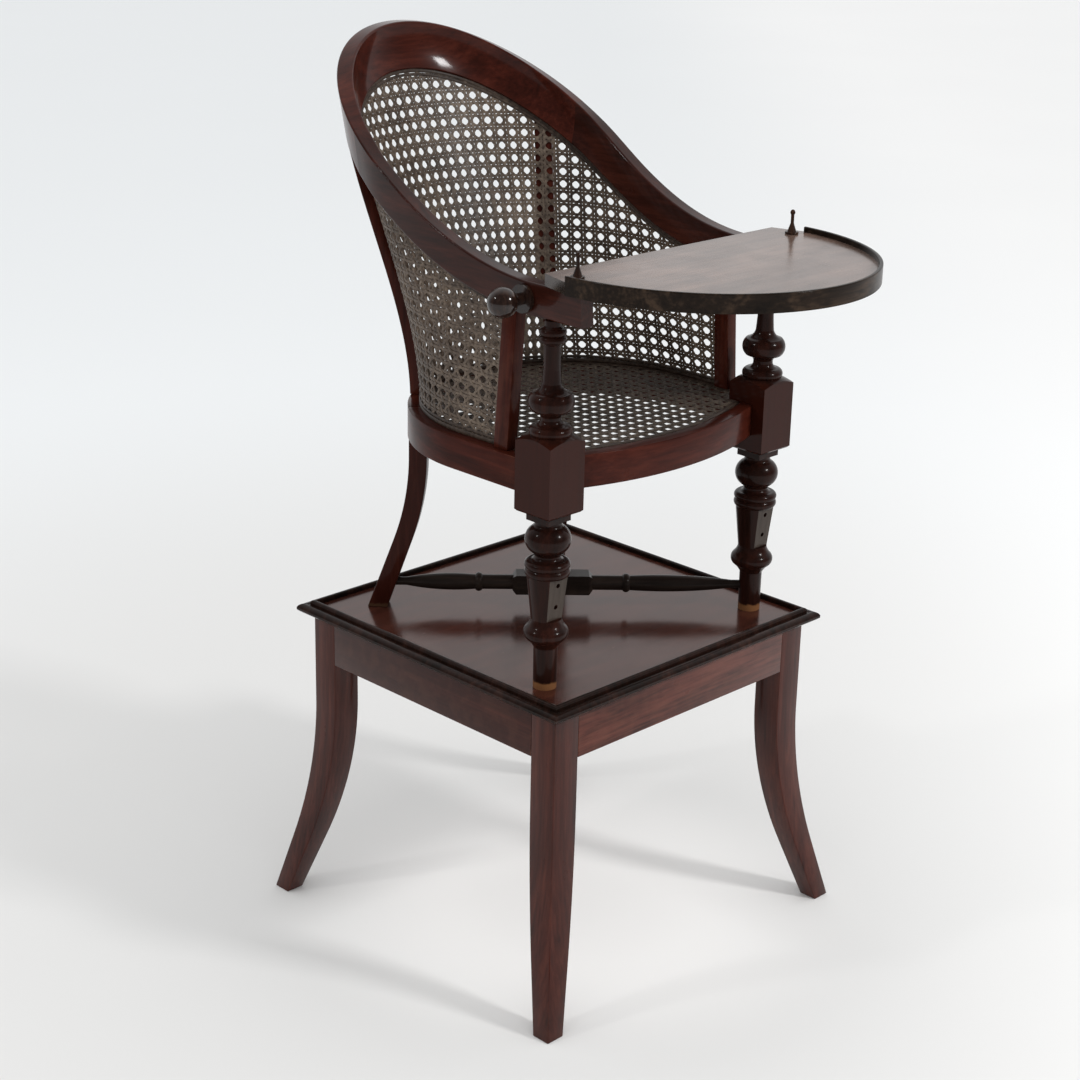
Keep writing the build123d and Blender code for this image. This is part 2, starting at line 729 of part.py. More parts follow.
lip_outer = tray_arc(0)
lip_inner = tray_arc(tray_lip_thickness)
tray_back_half = tray_half_width - tray_back_inset
board_edges = [lip_inner, Line((-tray_back_half, tray_back), (tray_back_half, tray_back))]
for side, shoulder, end in ((-1, lip_outer @ 0, lip_inner @ 0), (1, lip_outer @ 1, lip_inner @ 1)):
    board_edges += [Line((side * tray_back_half, tray_back), shoulder), Line(shoulder, end)]
tray_board = prism(board_edges, tray_bottom, tray_top)
board_hole = Cylinder(pin_radius + pin_fit, 4 * tray_thickness)
for side in (-1, 1):
    tray_board -= Pos(side * pin_x, -pin_setback, tray_top) * board_hole
lip_ends = [Line(lip_outer @ 0, lip_inner @ 0), Line(lip_outer @ 1, lip_inner @ 1)]
tray_lip = prism([lip_outer, lip_inner, *lip_ends], tray_bottom - tray_lip_drop, tray_top + tray_lip_rise)
lip_edges = tray_lip.faces().sort_by(Axis.Z)[-1].edges().filter_by(GeomType.ELLIPSE)
pieces["tray_board"] = chair_place * tray_board
pieces["tray_lip"] = chair_place * fillet(lip_edges, tray_lip_round)

# Tray pins
tray_pin = turned((
    (-tray_thickness - tray_gap - pin_depth, pin_radius),
    (0, pin_radius),
    (0, pin_collar_radius),
    (pin_collar_height / 2, pin_collar_radius + pin_collar_swell, pin_collar_height, pin_collar_radius),
    (pin_collar_height, pin_cone_radius),
    (pin_cone_height, pin_stem_radius),
    (pin_height - 2 * pin_knob_radius, pin_stem_radius),
    (pin_height - pin_knob_radius, pin_knob_radius, pin_height, pin_knob_flat),
))
keep_both("tray_pin", Pos(pin_x, -pin_setback, tray_top) * tray_pin, chair_place)

# Bar, drawn along Z from its far end and then laid down towards -X
knob_start = bar_end - bar_end_gap + arm_half_width + knob_gap
knob_collar_end = knob_start + knob_collar_thickness
knob_centre = knob_collar_end + knob_neck_length + knob_radius
knob_meets_neck = knob_centre - math.sqrt(knob_radius ** 2 - knob_neck_radius ** 2)
bar_rod = turned(((0, bar_radius), (knob_start, bar_radius), (knob_start, knob_spigot_radius),
                  (knob_start + knob_spigot_length, knob_spigot_radius)))
bar_knob = turned((
    (knob_start, knob_collar_radius),
    (knob_collar_end, knob_collar_radius),
    (knob_collar_end, knob_neck_radius),
    (knob_meets_neck, knob_neck_radius),
    (knob_centre, knob_radius, knob_centre + knob_radius, 0),
))
spigot_room = Cylinder(knob_spigot_radius + glue_line, 2 * (knob_spigot_length + glue_line))
bar_knob -= Pos(0, 0, knob_start) * spigot_room
bar_place = Pos(bar_end - bar_end_gap, bar_y, bar_z) * Rot(0, -90, 0)
pieces["safety_bar_rod"] = chair_place * bar_place * bar_rod
pieces["safety_bar_knob"] = chair_place * bar_place * bar_knob

# Table: top board with a hole for the thumbscrew, and its moulding in four mitred lengths
board_half_x = table_half_x + lip_overhang - lip_width
board_half_y = table_half_y + lip_overhang - lip_width
screw_y = cross_y - front_setback
board = box(-board_half_x, board_half_x, -board_half_y, board_half_y, board_under, table_height)
board -= Pos(0, screw_y, table_height) * Cylinder(screw_radius + screw_clearance, 4 * board_thickness)
pieces["table_board"] = table_place * board


def moulding(run_half, turn, distance):
    """One length of moulding, mitred at both ends."""
    lip_round = lip_width / 2
    shoulder_z = table_height + lip_rise - lip_round
    lip_top = (0, -lip_round, shoulder_z + lip_round)
    quirk_y = -lip_width - quirk_width
    tip_y = quirk_y - thumb_width
    tip_z = table_height - thumb_drop
    swell_z = table_height - thumb_drop / 2 + thumb_swell
    spots = [(0, tip_y, tip_z), (0, tip_y, tip_z - thumb_edge), (0, tip_y + thumb_edge, board_under),
             (0, 0, board_under), (0, 0, shoulder_z)]
    edges = [Line(a, b) for a, b in zip(spots, spots[1:])]
    edges += [
        ThreePointArc((0, 0, shoulder_z), lip_top, (0, -lip_width, shoulder_z)),
        Line((0, -lip_width, shoulder_z), (0, -lip_width, table_height)),
        Line((0, -lip_width, table_height), (0, quirk_y, table_height)),
        ThreePointArc((0, quirk_y, table_height), (0, (quirk_y + tip_y) / 2, swell_z), (0, tip_y, tip_z)),
    ]
    bar = extrude(make_face(edges), amount=run_half - tip_y, dir=(1, 0, 0), both=True)
    mitre = Polyline((-run_half, 0), (run_half, 0), (run_half - tip_y, tip_y), (tip_y - run_half, tip_y),
                     close=True)
    keep = extrude(make_face(mitre), amount=2 * table_height, dir=(0, 0, 1))
    return Rot(0, 0, turn) * Pos(0, -distance, 0) * (bar & keep)


for name, run_half, turn, distance in (("front", board_half_x, 0, board_half_y),
                                       ("right", board_half_y, 90, board_half_x),
                                       ("rear", board_half_x, 180, board_half_y),
                                       ("left", board_half_y, 270, board_half_x)):
    pieces[f"table_moulding_{name}"] = table_place * moulding(run_half, turn, distance)

# Thumbscrew and washer, from below the board up into the stretchers' block
head_top = board_under - washer_thickness
head_low = head_top - screw_head_height
waist_low = head_top - screw_waist_height
screw = turned((
    (head_low, screw_head_radius - screw_head_round),
    ((head_low + waist_low) / 2, screw_head_radius, waist_low, screw_head_radius - screw_head_round),
    (waist_low, screw_waist_radius),
    (head_top, screw_waist_radius),
    (head_top, screw_radius),
    (table_height + screw_top, screw_radius),
))
washer_hole = Cylinder(screw_radius + screw_clearance, 2 * washer_thickness)
washer = Cylinder(washer_radius, washer_thickness) - washer_hole
pieces["fixing_screw"] = table_place * Pos(0, screw_y, 0) * screw
pieces["screw_washer"] = table_place * Pos(0, screw_y, board_under - washer_thickness / 2) * washer

for name, piece in pieces.items():
    export_step(piece, f"parts/{name}.step")
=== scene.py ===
"""A child's caned high chair on its own low table: finishes, woven cane, light and camera.

Metres, +Z up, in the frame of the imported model. The chair faces -Y and left is -X.
"""
import json
import logging
import math
from dataclasses import dataclass, field, replace
from enum import Enum
from typing import Any, Callable, ClassVar, Iterable, Sequence

import bmesh
import bpy
from mathutils import Matrix, Vector

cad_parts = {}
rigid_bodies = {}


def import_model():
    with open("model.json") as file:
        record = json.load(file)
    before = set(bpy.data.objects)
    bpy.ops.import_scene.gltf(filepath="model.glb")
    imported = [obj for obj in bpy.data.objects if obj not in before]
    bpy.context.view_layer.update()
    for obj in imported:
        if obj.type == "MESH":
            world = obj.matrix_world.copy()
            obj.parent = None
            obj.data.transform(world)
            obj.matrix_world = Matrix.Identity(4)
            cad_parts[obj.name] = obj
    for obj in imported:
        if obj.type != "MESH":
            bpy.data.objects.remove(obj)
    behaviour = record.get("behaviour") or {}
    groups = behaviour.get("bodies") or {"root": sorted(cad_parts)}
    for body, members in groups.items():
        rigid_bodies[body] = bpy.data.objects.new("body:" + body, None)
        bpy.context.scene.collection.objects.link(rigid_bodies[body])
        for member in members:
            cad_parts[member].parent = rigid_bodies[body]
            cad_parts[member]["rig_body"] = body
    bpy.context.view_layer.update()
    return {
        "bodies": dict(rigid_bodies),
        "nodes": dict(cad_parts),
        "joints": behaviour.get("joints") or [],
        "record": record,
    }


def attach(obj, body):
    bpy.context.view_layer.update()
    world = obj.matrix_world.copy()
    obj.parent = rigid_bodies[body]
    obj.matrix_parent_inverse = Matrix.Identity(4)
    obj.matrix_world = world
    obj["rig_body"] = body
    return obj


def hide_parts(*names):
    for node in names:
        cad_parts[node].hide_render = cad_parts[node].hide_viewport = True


LOG = logging.getLogger("high_chair")
Colour = tuple[float, float, float]
Span = tuple[float, float]
Number = "float | Link"

ENDS = ("front", "rear")
SIDES = ("left", "right")


class Link:
    """A node's output that can stand in an expression of numbers."""

    def __init__(self, shader: "Shader", socket: bpy.types.NodeSocket) -> None:
        """Keep the shader that the socket belongs to.

        Args:
            shader: the shader that holds the node.
            socket: the output socket.
        """
        self.shader = shader
        self.socket = socket

    def __add__(self, other: Number) -> "Link":
        """Sum."""
        return self.shader.math("ADD", self, other)

    def __radd__(self, other: float) -> "Link":
        """Sum with a number first."""
        return self.shader.math("ADD", other, self)

    def __sub__(self, other: Number) -> "Link":
        """Difference."""
        return self.shader.math("SUBTRACT", self, other)

    def __rsub__(self, other: float) -> "Link":
        """Difference from a number."""
        return self.shader.math("SUBTRACT", other, self)

    def __mul__(self, other: Number) -> "Link":
        """Product."""
        return self.shader.math("MULTIPLY", self, other)

    def __rmul__(self, other: float) -> "Link":
        """Product with a number first."""
        return self.shader.math("MULTIPLY", other, self)


@dataclass(frozen=True)
class Noise:
    """How fine a noise texture is, to the metre, and how far it is warped."""

    scale: float
    detail: float = 2.0
    warp: float = 0.0


class Shader:
    """The nodes of a material, or of the world, under construction."""

    def __init__(self, owner: bpy.types.Material | bpy.types.World, output: str) -> None:
        """Start with only the output.

        Args:
            owner: the new material or world.
            output: the type of its output node.
        """
        owner.use_nodes = True
        self.owner = owner
        self.tree = owner.node_tree
        self.tree.nodes.clear()
        self.output = self.tree.nodes.new(output)

    @classmethod
    def of_material(cls, name: str) -> "Shader":
        """Start a material."""
        return cls(bpy.data.materials.new(name), "ShaderNodeOutputMaterial")

    @classmethod
    def of_world(cls, name: str) -> "Shader":
        """Start a world."""
        return cls(bpy.data.worlds.new(name), "ShaderNodeOutputWorld")

    def node(self, kind: str, settings: dict[str, Any] | None = None,
             values: dict[str | int, Any] | None = None, output: str | int = 0) -> Link:
        """Add a node.

        Args:
            kind: the node's type.
            settings: its properties; stops holds a ramp's (place, colour) pairs.
            values: numbers, colours or links for its input sockets, by name or number.
            output: the output socket to return.

        Returns:
            The chosen output.
        """
        node = self.tree.nodes.new(kind)
        for key, value in (settings or {}).items():
            if key == "stops":
                self.set_stops(node.color_ramp, value)
            else:
                setattr(node, key, value)
        for key, value in (values or {}).items():
            socket = node.inputs[key]
            if isinstance(value, Link):
                self.tree.links.new(value.socket, socket)
            else:
                socket.default_value = value
        return Link(self, node.outputs[output])

    @staticmethod
    def set_stops(ramp: bpy.types.ColorRamp, stops: Sequence[tuple[float, Colour]]) -> None:
        """Give a ramp its stops.

        Args:
            ramp: the ramp.
            stops: places with their colours.
        """
        while len(ramp.elements) < len(stops):
            ramp.elements.new(1.0)
        for element, (place, colour) in zip(ramp.elements, stops):
            element.position = place
            element.color = (*colour, 1.0)

    def ramp(self, value: Link, places: Sequence[float], colours: Sequence[Colour]) -> Link:
        """Colours by a value, each at its place."""
        return self.node("ShaderNodeValToRGB", {"stops": list(zip(places, colours))}, {0: value})

    def math(self, operation: str, a: Number, b: Number) -> Link:
        """Add a Math node for one operation on two values."""
        return self.node("ShaderNodeMath", {"operation": operation}, {0: a, 1: b})

    def vector_math(self, operation: str, *vectors: Any) -> Link:
        """Add a Vector Math node whose result is a number."""
        return self.node("ShaderNodeVectorMath", {"operation": operation}, dict(enumerate(vectors)),
                         "Value")

    def between(self, value: Link, low: float, high: float, lowest: Number = 0.0,
                highest: Number = 1.0) -> Link:
        """Rise smoothly from one number to another.

        Args:
            value: what is measured.
            low: where the rise starts.
            high: where it ends, which may lie under low.
            lowest: the result at low.
            highest: the result at high.

        Returns:
            The result, a mask unless its ends are given.
        """
        return self.node("ShaderNodeMapRange", {"interpolation_type": "SMOOTHSTEP"},
                         {"Value": value, "From Min": low, "From Max": high,
                          "To Min": lowest, "To Max": highest})

    def mix(self, mask: Number, first: Any, second: Any) -> Link:
        """Mix two colours.

        Args:
            mask: share of the second colour.
            first: colour or link.
            second: colour or link.

        Returns:
            The mixed colour.
        """
        def full(colour: Any) -> Any:
            """Colour with its alpha, or the link as it is."""
            return colour if isinstance(colour, Link) else (*colour, 1.0)

        return self.node("ShaderNodeMix", {"data_type": "RGBA"},
                         {0: mask, 6: full(first), 7: full(second)}, 2)

    def point(self) -> Link:
        """The point on the object."""
        return self.node("ShaderNodeTexCoord", output="Object")

    def place(self, stretch: float = 1.0, turn: Sequence[float] = (0, 0, 0)) -> Link:
        """The point on the object, in a texture that is stretched along X and then turned."""
        return self.node("ShaderNodeMapping", {"vector_type": "TEXTURE"},
                         {"Vector": self.point(), "Rotation": turn, "Scale": (stretch, 1.0, 1.0)})

    def axis(self, vector: Link, number: int) -> Link:
        """One of a vector's three numbers."""
        return self.node("ShaderNodeSeparateXYZ", None, {0: vector}, number)

    def noise(self, place: Link, pattern: Noise) -> Link:
        """A noise texture's value at a place."""
        return self.node("ShaderNodeTexNoise", None,
                         {"Vector": place, "Scale": pattern.scale, "Detail": pattern.detail,
                          "Distortion": pattern.warp})

    def bump(self, height: Link, strength: float, distance: float) -> Link:
        """A normal that follows a height."""
        return self.node("ShaderNodeBump", None,
                         {"Height": height, "Strength": strength, "Distance": distance})

    def close(self, surface: Link) -> None:
        """Lead a surface to the output."""
        self.tree.links.new(surface.socket, self.output.inputs["Surface"])

    def finish(self, values: dict[str, Any]) -> bpy.types.Material:
        """Close a material with one principled surface.

        Args:
            values: what the surface's sockets take.

        Returns:
            The finished material.
        """
        self.close(self.node("ShaderNodeBsdfPrincipled", None, values))
        return self.owner


class Grain(Enum):
    """Which way the wood's fibres run: the turn that lays X along them."""

    ALONG_X = (0.0, 0.0, 0.0)
    ALONG_Y = (0.0, 0.0, math.pi / 2)
    ALONG_Z = (0.0, math.pi / 2, 0.0)
    ACROSS_RIGHT = (0.0, 0.0, math.radians(43))
    ACROSS_LEFT = (0.0, 0.0, math.radians(-43))


@dataclass
class Ground:
    """A wood's shader while its layers are laid on: what they share and what they change."""

    shader: Shader
    along: Link
    plain: Link
    height: Link
    normal: Link
    tone: Link
    colour: Link
    rough: Link


@dataclass(frozen=True)
class Mahogany:
    """French-polished mahogany, dark with age.

    Colours are linear and heights are above the floor. The polish has gone below bare_below and
    on the front legs' flats between the heights of grey_flat. Their square blocks lie between
    block_heights.
    """

    name: str
    dark: Colour = (0.022, 0.0045, 0.0025)
    middle: Colour = (0.041, 0.0078, 0.0043)
    light: Colour = (0.068, 0.0145, 0.008)
    worn: Colour = (0.15, 0.06, 0.035)
    bare: Colour = (0.2, 0.088, 0.036)
    block: Colour = (0.026, 0.0052, 0.0026)
    # Pale layer on faces that look up: partly dust and dulled polish, partly painted sheen.
    dust_and_sheen: Colour = (0.2, 0.15, 0.14)
    grime: Colour = (0.018, 0.013, 0.01)
    scuff: Colour = (0.085, 0.068, 0.056)
    grain: Grain = Grain.ALONG_Z
    stretch: float = 14.0
    roughness: float = 0.3
    coat: float = 0.22
    coat_index: float = 1.3
    gloss_blur: float = 0.1
    gloss: float = 0.04
    gloss_tint: Colour = (1.0, 1.0, 1.0)
    wear_share: float = 0.45
    dust_and_sheen_share: float = 0.0
    bare_below: float | None = None
    grey_flat: Span | None = None
    block_heights: Span | None = None

    BANDS: ClassVar[Noise] = Noise(42.0, 3.0, 1.2)
    CLOUD: ClassVar[Noise] = Noise(9.0, 3.0)
    FIBRES: ClassVar[Noise] = Noise(260.0, 6.0, 0.4)
    PORES: ClassVar[Noise] = Noise(900.0)
    BAND_SHARE: ClassVar[float] = 0.44
    CLOUD_SHARE: ClassVar[float] = 0.22
    FIBRE_SHARE: ClassVar[float] = 0.34
    TONES: ClassVar[tuple[float, float, float]] = (0.38, 0.52, 0.66)
    PORE_EDGE: ClassVar[Span] = (0.62, 0.72)
    PORE_DARKNESS: ClassVar[float] = 0.5
    PORE_ROUGHNESS: ClassVar[float] = 0.08
    PORE_DEPTH: ClassVar[float] = 0.06
    HANDLING: ClassVar[Noise] = Noise(30.0, 4.0)
    HANDLING_SPREAD: ClassVar[float] = 0.14
    RIPPLE: ClassVar[Noise] = Noise(22.0, 1.0)
    RIPPLE_STRENGTH: ClassVar[float] = 0.12
    RIPPLE_DISTANCE: ClassVar[float] = 0.0012
    UPWARD: ClassVar[Span] = (0.9, 0.98)
    SMEARS: ClassVar[Noise] = Noise(14.0, 4.0, 0.6)
    SMEAR_EDGE: ClassVar[Span] = (0.3, 0.7)
    SMEAR_RANGE: ClassVar[Span] = (0.6, 1.0)
    VEIL_TONES: ClassVar[Span] = (0.42, 0.6)
    VEIL_DARKEST: ClassVar[float] = 0.66
    ARRIS: ClassVar[Span] = (0.53, 0.6)
    RUBBING: ClassVar[Noise] = Noise(70.0, 4.0)
    RUBBING_EDGE: ClassVar[Span] = (0.4, 0.65)
    BLOCK_FADES: ClassVar[Span] = (0.001, 0.006)
    BLOCK_TONE: ClassVar[float] = 0.9
    BLOCK_LEAST: ClassVar[float] = 0.4
    RAGGED: ClassVar[Noise] = Noise(120.0, 4.0)
    RAGGED_HEIGHT: ClassVar[float] = 0.006
    BARE_FADE: ClassVar[float] = 0.0025
    BARE_SHARE: ClassVar[float] = 0.9
    BARE_ROUGHNESS: ClassVar[float] = 0.35
    FORWARD: ClassVar[Span] = (-0.9, -0.985)
    FLAT_FADE: ClassVar[float] = 0.002
    FLAT_SHARE: ClassVar[float] = 0.85
    FLAT_ROUGHNESS: ClassVar[float] = 0.2
    SCUFFS: ClassVar[Noise] = Noise(160.0, 4.0)

    def material(self) -> bpy.types.Material:
        """Build the material.

        Returns:
            The material, ready for a mesh.
        """
        s = Shader.of_material(self.name)
        along = s.place(self.stretch, self.grain.value)
        plain = s.place()
        tone = (s.noise(along, self.BANDS) * self.BAND_SHARE
                + s.noise(plain, self.CLOUD) * self.CLOUD_SHARE
                + s.noise(along, self.FIBRES) * self.FIBRE_SHARE)
        pores = s.between(s.noise(along, self.PORES), *self.PORE_EDGE)
        colour = s.ramp(tone, self.TONES, (self.dark, self.middle, self.light))
        colour = s.mix(pores * self.PORE_DARKNESS, colour, self.dark)
        rough = (s.noise(plain, self.HANDLING) * self.HANDLING_SPREAD + pores * self.PORE_ROUGHNESS
                 + (self.roughness - self.HANDLING_SPREAD / 2))
        normal = s.node("ShaderNodeNewGeometry", output="Normal")
        ground = Ground(s, along, plain, s.axis(s.point(), 2), normal, tone, colour, rough)
        if self.dust_and_sheen_share:
            self.lay_dust_and_sheen(ground)
        if self.wear_share:
            self.rub_edges(ground)
        if self.block_heights is not None:
            self.redden_block(ground, *self.block_heights)
        if self.bare_below is not None:
            self.bare_feet(ground, self.bare_below)
        if self.grey_flat is not None:
            self.scuff_flats(ground, *self.grey_flat)
        ripple = s.noise(plain, self.RIPPLE) - pores * self.PORE_DEPTH
        return s.finish({"Base Color": ground.colour, "Roughness": ground.rough,
                         "Normal": s.bump(ripple, self.RIPPLE_STRENGTH, self.RIPPLE_DISTANCE),
                         "Coat Weight": self.coat, "Coat Roughness": self.gloss_blur,
                         "Coat IOR": self.coat_index, "Specular IOR Level": self.gloss,
                         "Specular Tint": (*self.gloss_tint, 1.0)})

    def lay_dust_and_sheen(self, ground: Ground) -> None:
        """Lay dust and dulled polish on the faces that look up, as a pale veil that is partly painted
        sheen: it also stands in for the grazing reflection of the white surroundings on the tops.

        Args:
            ground: the wood's layers so far.
        """
        s = ground.shader
        # Painted sheen mixed with dust: only faces that look up get the pale veil.
        upward = s.between(s.axis(ground.normal, 2), *self.UPWARD)
        smear = s.between(s.noise(ground.plain, self.SMEARS), *self.SMEAR_EDGE, *self.SMEAR_RANGE)
        deep = tuple(self.VEIL_DARKEST * channel for channel in self.dust_and_sheen)
        dust_and_sheen_colour = s.mix(s.between(ground.tone, *self.VEIL_TONES), deep, self.dust_and_sheen)
        ground.colour = s.mix(smear * upward * self.dust_and_sheen_share, ground.colour, dust_and_sheen_colour)

    def rub_edges(self, ground: Ground) -> None:
        """Wear the polish thin along the edges.

        Args:
            ground: the wood's layers so far.
        """
        s = ground.shader
        arris = s.between(s.node("ShaderNodeNewGeometry", output="Pointiness"), *self.ARRIS)
        rubbed = arris * s.between(s.noise(ground.plain, self.RUBBING), *self.RUBBING_EDGE)
        ground.colour = s.mix(rubbed * self.wear_share, ground.colour, self.worn)

    def redden_block(self, ground: Ground, low: float, high: float) -> None:
        """Give the legs' square blocks the seat frame's colour.

        Args:
            ground: the wood's layers so far.
            low: the blocks' foot.
            high: the blocks' top.
        """
        s = ground.shader
        low_fade, high_fade = self.BLOCK_FADES
        inside = (s.between(ground.height, low, low + low_fade)
                  * s.between(ground.height, high, high - high_fade))
        share = inside * (ground.tone * self.BLOCK_TONE + self.BLOCK_LEAST)
        ground.colour = s.mix(share, ground.colour, self.block)

    def bare_feet(self, ground: Ground, below: float) -> None:
        """Scrape the polish off the feet, with a ragged edge.

        Args:
            ground: the wood's layers so far.
            below: the height under which the wood is bare.
        """
        s = ground.shader
        ragged = ground.height - s.noise(ground.plain, self.RAGGED) * self.RAGGED_HEIGHT
        bare = s.between(ragged, below, below - self.BARE_FADE)
        ground.colour = s.mix(bare * self.BARE_SHARE, ground.colour, self.bare)
        ground.rough = ground.rough + bare * self.BARE_ROUGHNESS

    def scuff_flats(self, ground: Ground, low: float, high: float) -> None:
        """Scuff the flats on the fronts of the legs grey.

        Args:
            ground: the wood's layers so far.
            low: the flats' foot.
            high: the flats' top.
        """
        s = ground.shader
        flat = (s.between(s.axis(ground.normal, 1), *self.FORWARD)
                * s.between(ground.height, low, low + self.FLAT_FADE)
                * s.between(ground.height, high, high - self.FLAT_FADE))
        scuffed = s.mix(s.noise(ground.along, self.SCUFFS), self.grime, self.scuff)
        ground.colour = s.mix(flat * self.FLAT_SHARE, ground.colour, scuffed)
        ground.rough = ground.rough + flat * self.FLAT_ROUGHNESS


@dataclass(frozen=True)
class Rattan:
    """Old woven cane and its binding, grey-brown with patchy strands."""

    name: str
    dark: Colour = (0.024, 0.015, 0.01)
    middle: Colour = (0.08, 0.056, 0.04)
    light: Colour = (0.18, 0.136, 0.1)
    roughness: float = 0.5

    PATCHES: ClassVar[Noise] = Noise(16.0, 3.0)
    STRANDS: ClassVar[Noise] = Noise(260.0, 3.0)
    FIBRES: ClassVar[Noise] = Noise(1500.0)
    PATCH_SHARE: ClassVar[float] = 0.4
    STRAND_SHARE: ClassVar[float] = 0.45
    FIBRE_SHARE: ClassVar[float] = 0.15
    TONES: ClassVar[tuple[float, float, float]] = (0.34, 0.5, 0.68)
    ROUGHNESS_SPREAD: ClassVar[float] = 0.2
    FIBRE_STRENGTH: ClassVar[float] = 0.25
    FIBRE_DISTANCE: ClassVar[float] = 0.0002
    SHELLAC: ClassVar[float] = 0.1
    SHELLAC_BLUR: ClassVar[float] = 0.3
    GLOSS: ClassVar[float] = 0.25

    def material(self) -> bpy.types.Material:
        """Build the material.

        Returns:
            The material, ready for a mesh.
        """
        s = Shader.of_material(self.name)
        plain = s.place()
        strands = s.noise(plain, self.STRANDS)
        fibres = s.noise(plain, self.FIBRES)
        tone = (s.noise(plain, self.PATCHES) * self.PATCH_SHARE + strands * self.STRAND_SHARE
                + fibres * self.FIBRE_SHARE)
        rough = strands * self.ROUGHNESS_SPREAD + (self.roughness - self.ROUGHNESS_SPREAD / 2)
        return s.finish({"Base Color": s.ramp(tone, self.TONES, (self.dark, self.middle, self.light)),
                         "Roughness": rough,
                         "Normal": s.bump(fibres, self.FIBRE_STRENGTH, self.FIBRE_DISTANCE),
                         "Coat Weight": self.SHELLAC, "Coat Roughness": self.SHELLAC_BLUR,
                         "Specular IOR Level": self.GLOSS})


@dataclass(frozen=True)
class Metal:
    """Dull, handled metal."""

    name: str
    base: Colour = (0.1, 0.095, 0.09)
    tarnish: Colour = (0.03, 0.026, 0.022)
    roughness: float = 0.4

    SPOTS: ClassVar[Noise] = Noise(160.0, 4.0)
    SPOT_EDGE: ClassVar[Span] = (0.42, 0.62)
    SPOT_ROUGHNESS: ClassVar[float] = 0.2
    SPOT_STRENGTH: ClassVar[float] = 0.15
    SPOT_DISTANCE: ClassVar[float] = 0.0002

    def material(self) -> bpy.types.Material:
        """Build the material.

        Returns:
            The material, ready for a mesh.
        """
        s = Shader.of_material(self.name)
        spots = s.between(s.noise(s.place(), self.SPOTS), *self.SPOT_EDGE)
        return s.finish({"Base Color": s.mix(spots, self.base, self.tarnish),
                         "Roughness": spots * self.SPOT_ROUGHNESS + self.roughness, "Metallic": 1.0,
                         "Normal": s.bump(spots, self.SPOT_STRENGTH, self.SPOT_DISTANCE)})


@dataclass(frozen=True)
class Ruling:
    """One line of the cane, from the seat rail to the rail above, bowed inwards."""

    low: Vector
    high: Vector
    bow: Vector

    BOW_SCALE: ClassVar[float] = 27 / 4

    def at(self, z: float) -> Vector:
        """The line's point at a height. The bow is fullest a third of the way up."""
        t = (z - self.low.z) / (self.high.z - self.low.z)
        return self.low.lerp(self.high, t) - self.bow * (self.BOW_SCALE * t * (1 - t) ** 2)

    def towards(self, other: "Ruling", share: float) -> "Ruling":
        """A line at a share of the way to another."""
        return Ruling(self.low.lerp(other.low, share), self.high.lerp(other.high, share),
                      self.bow.lerp(other.bow, share))


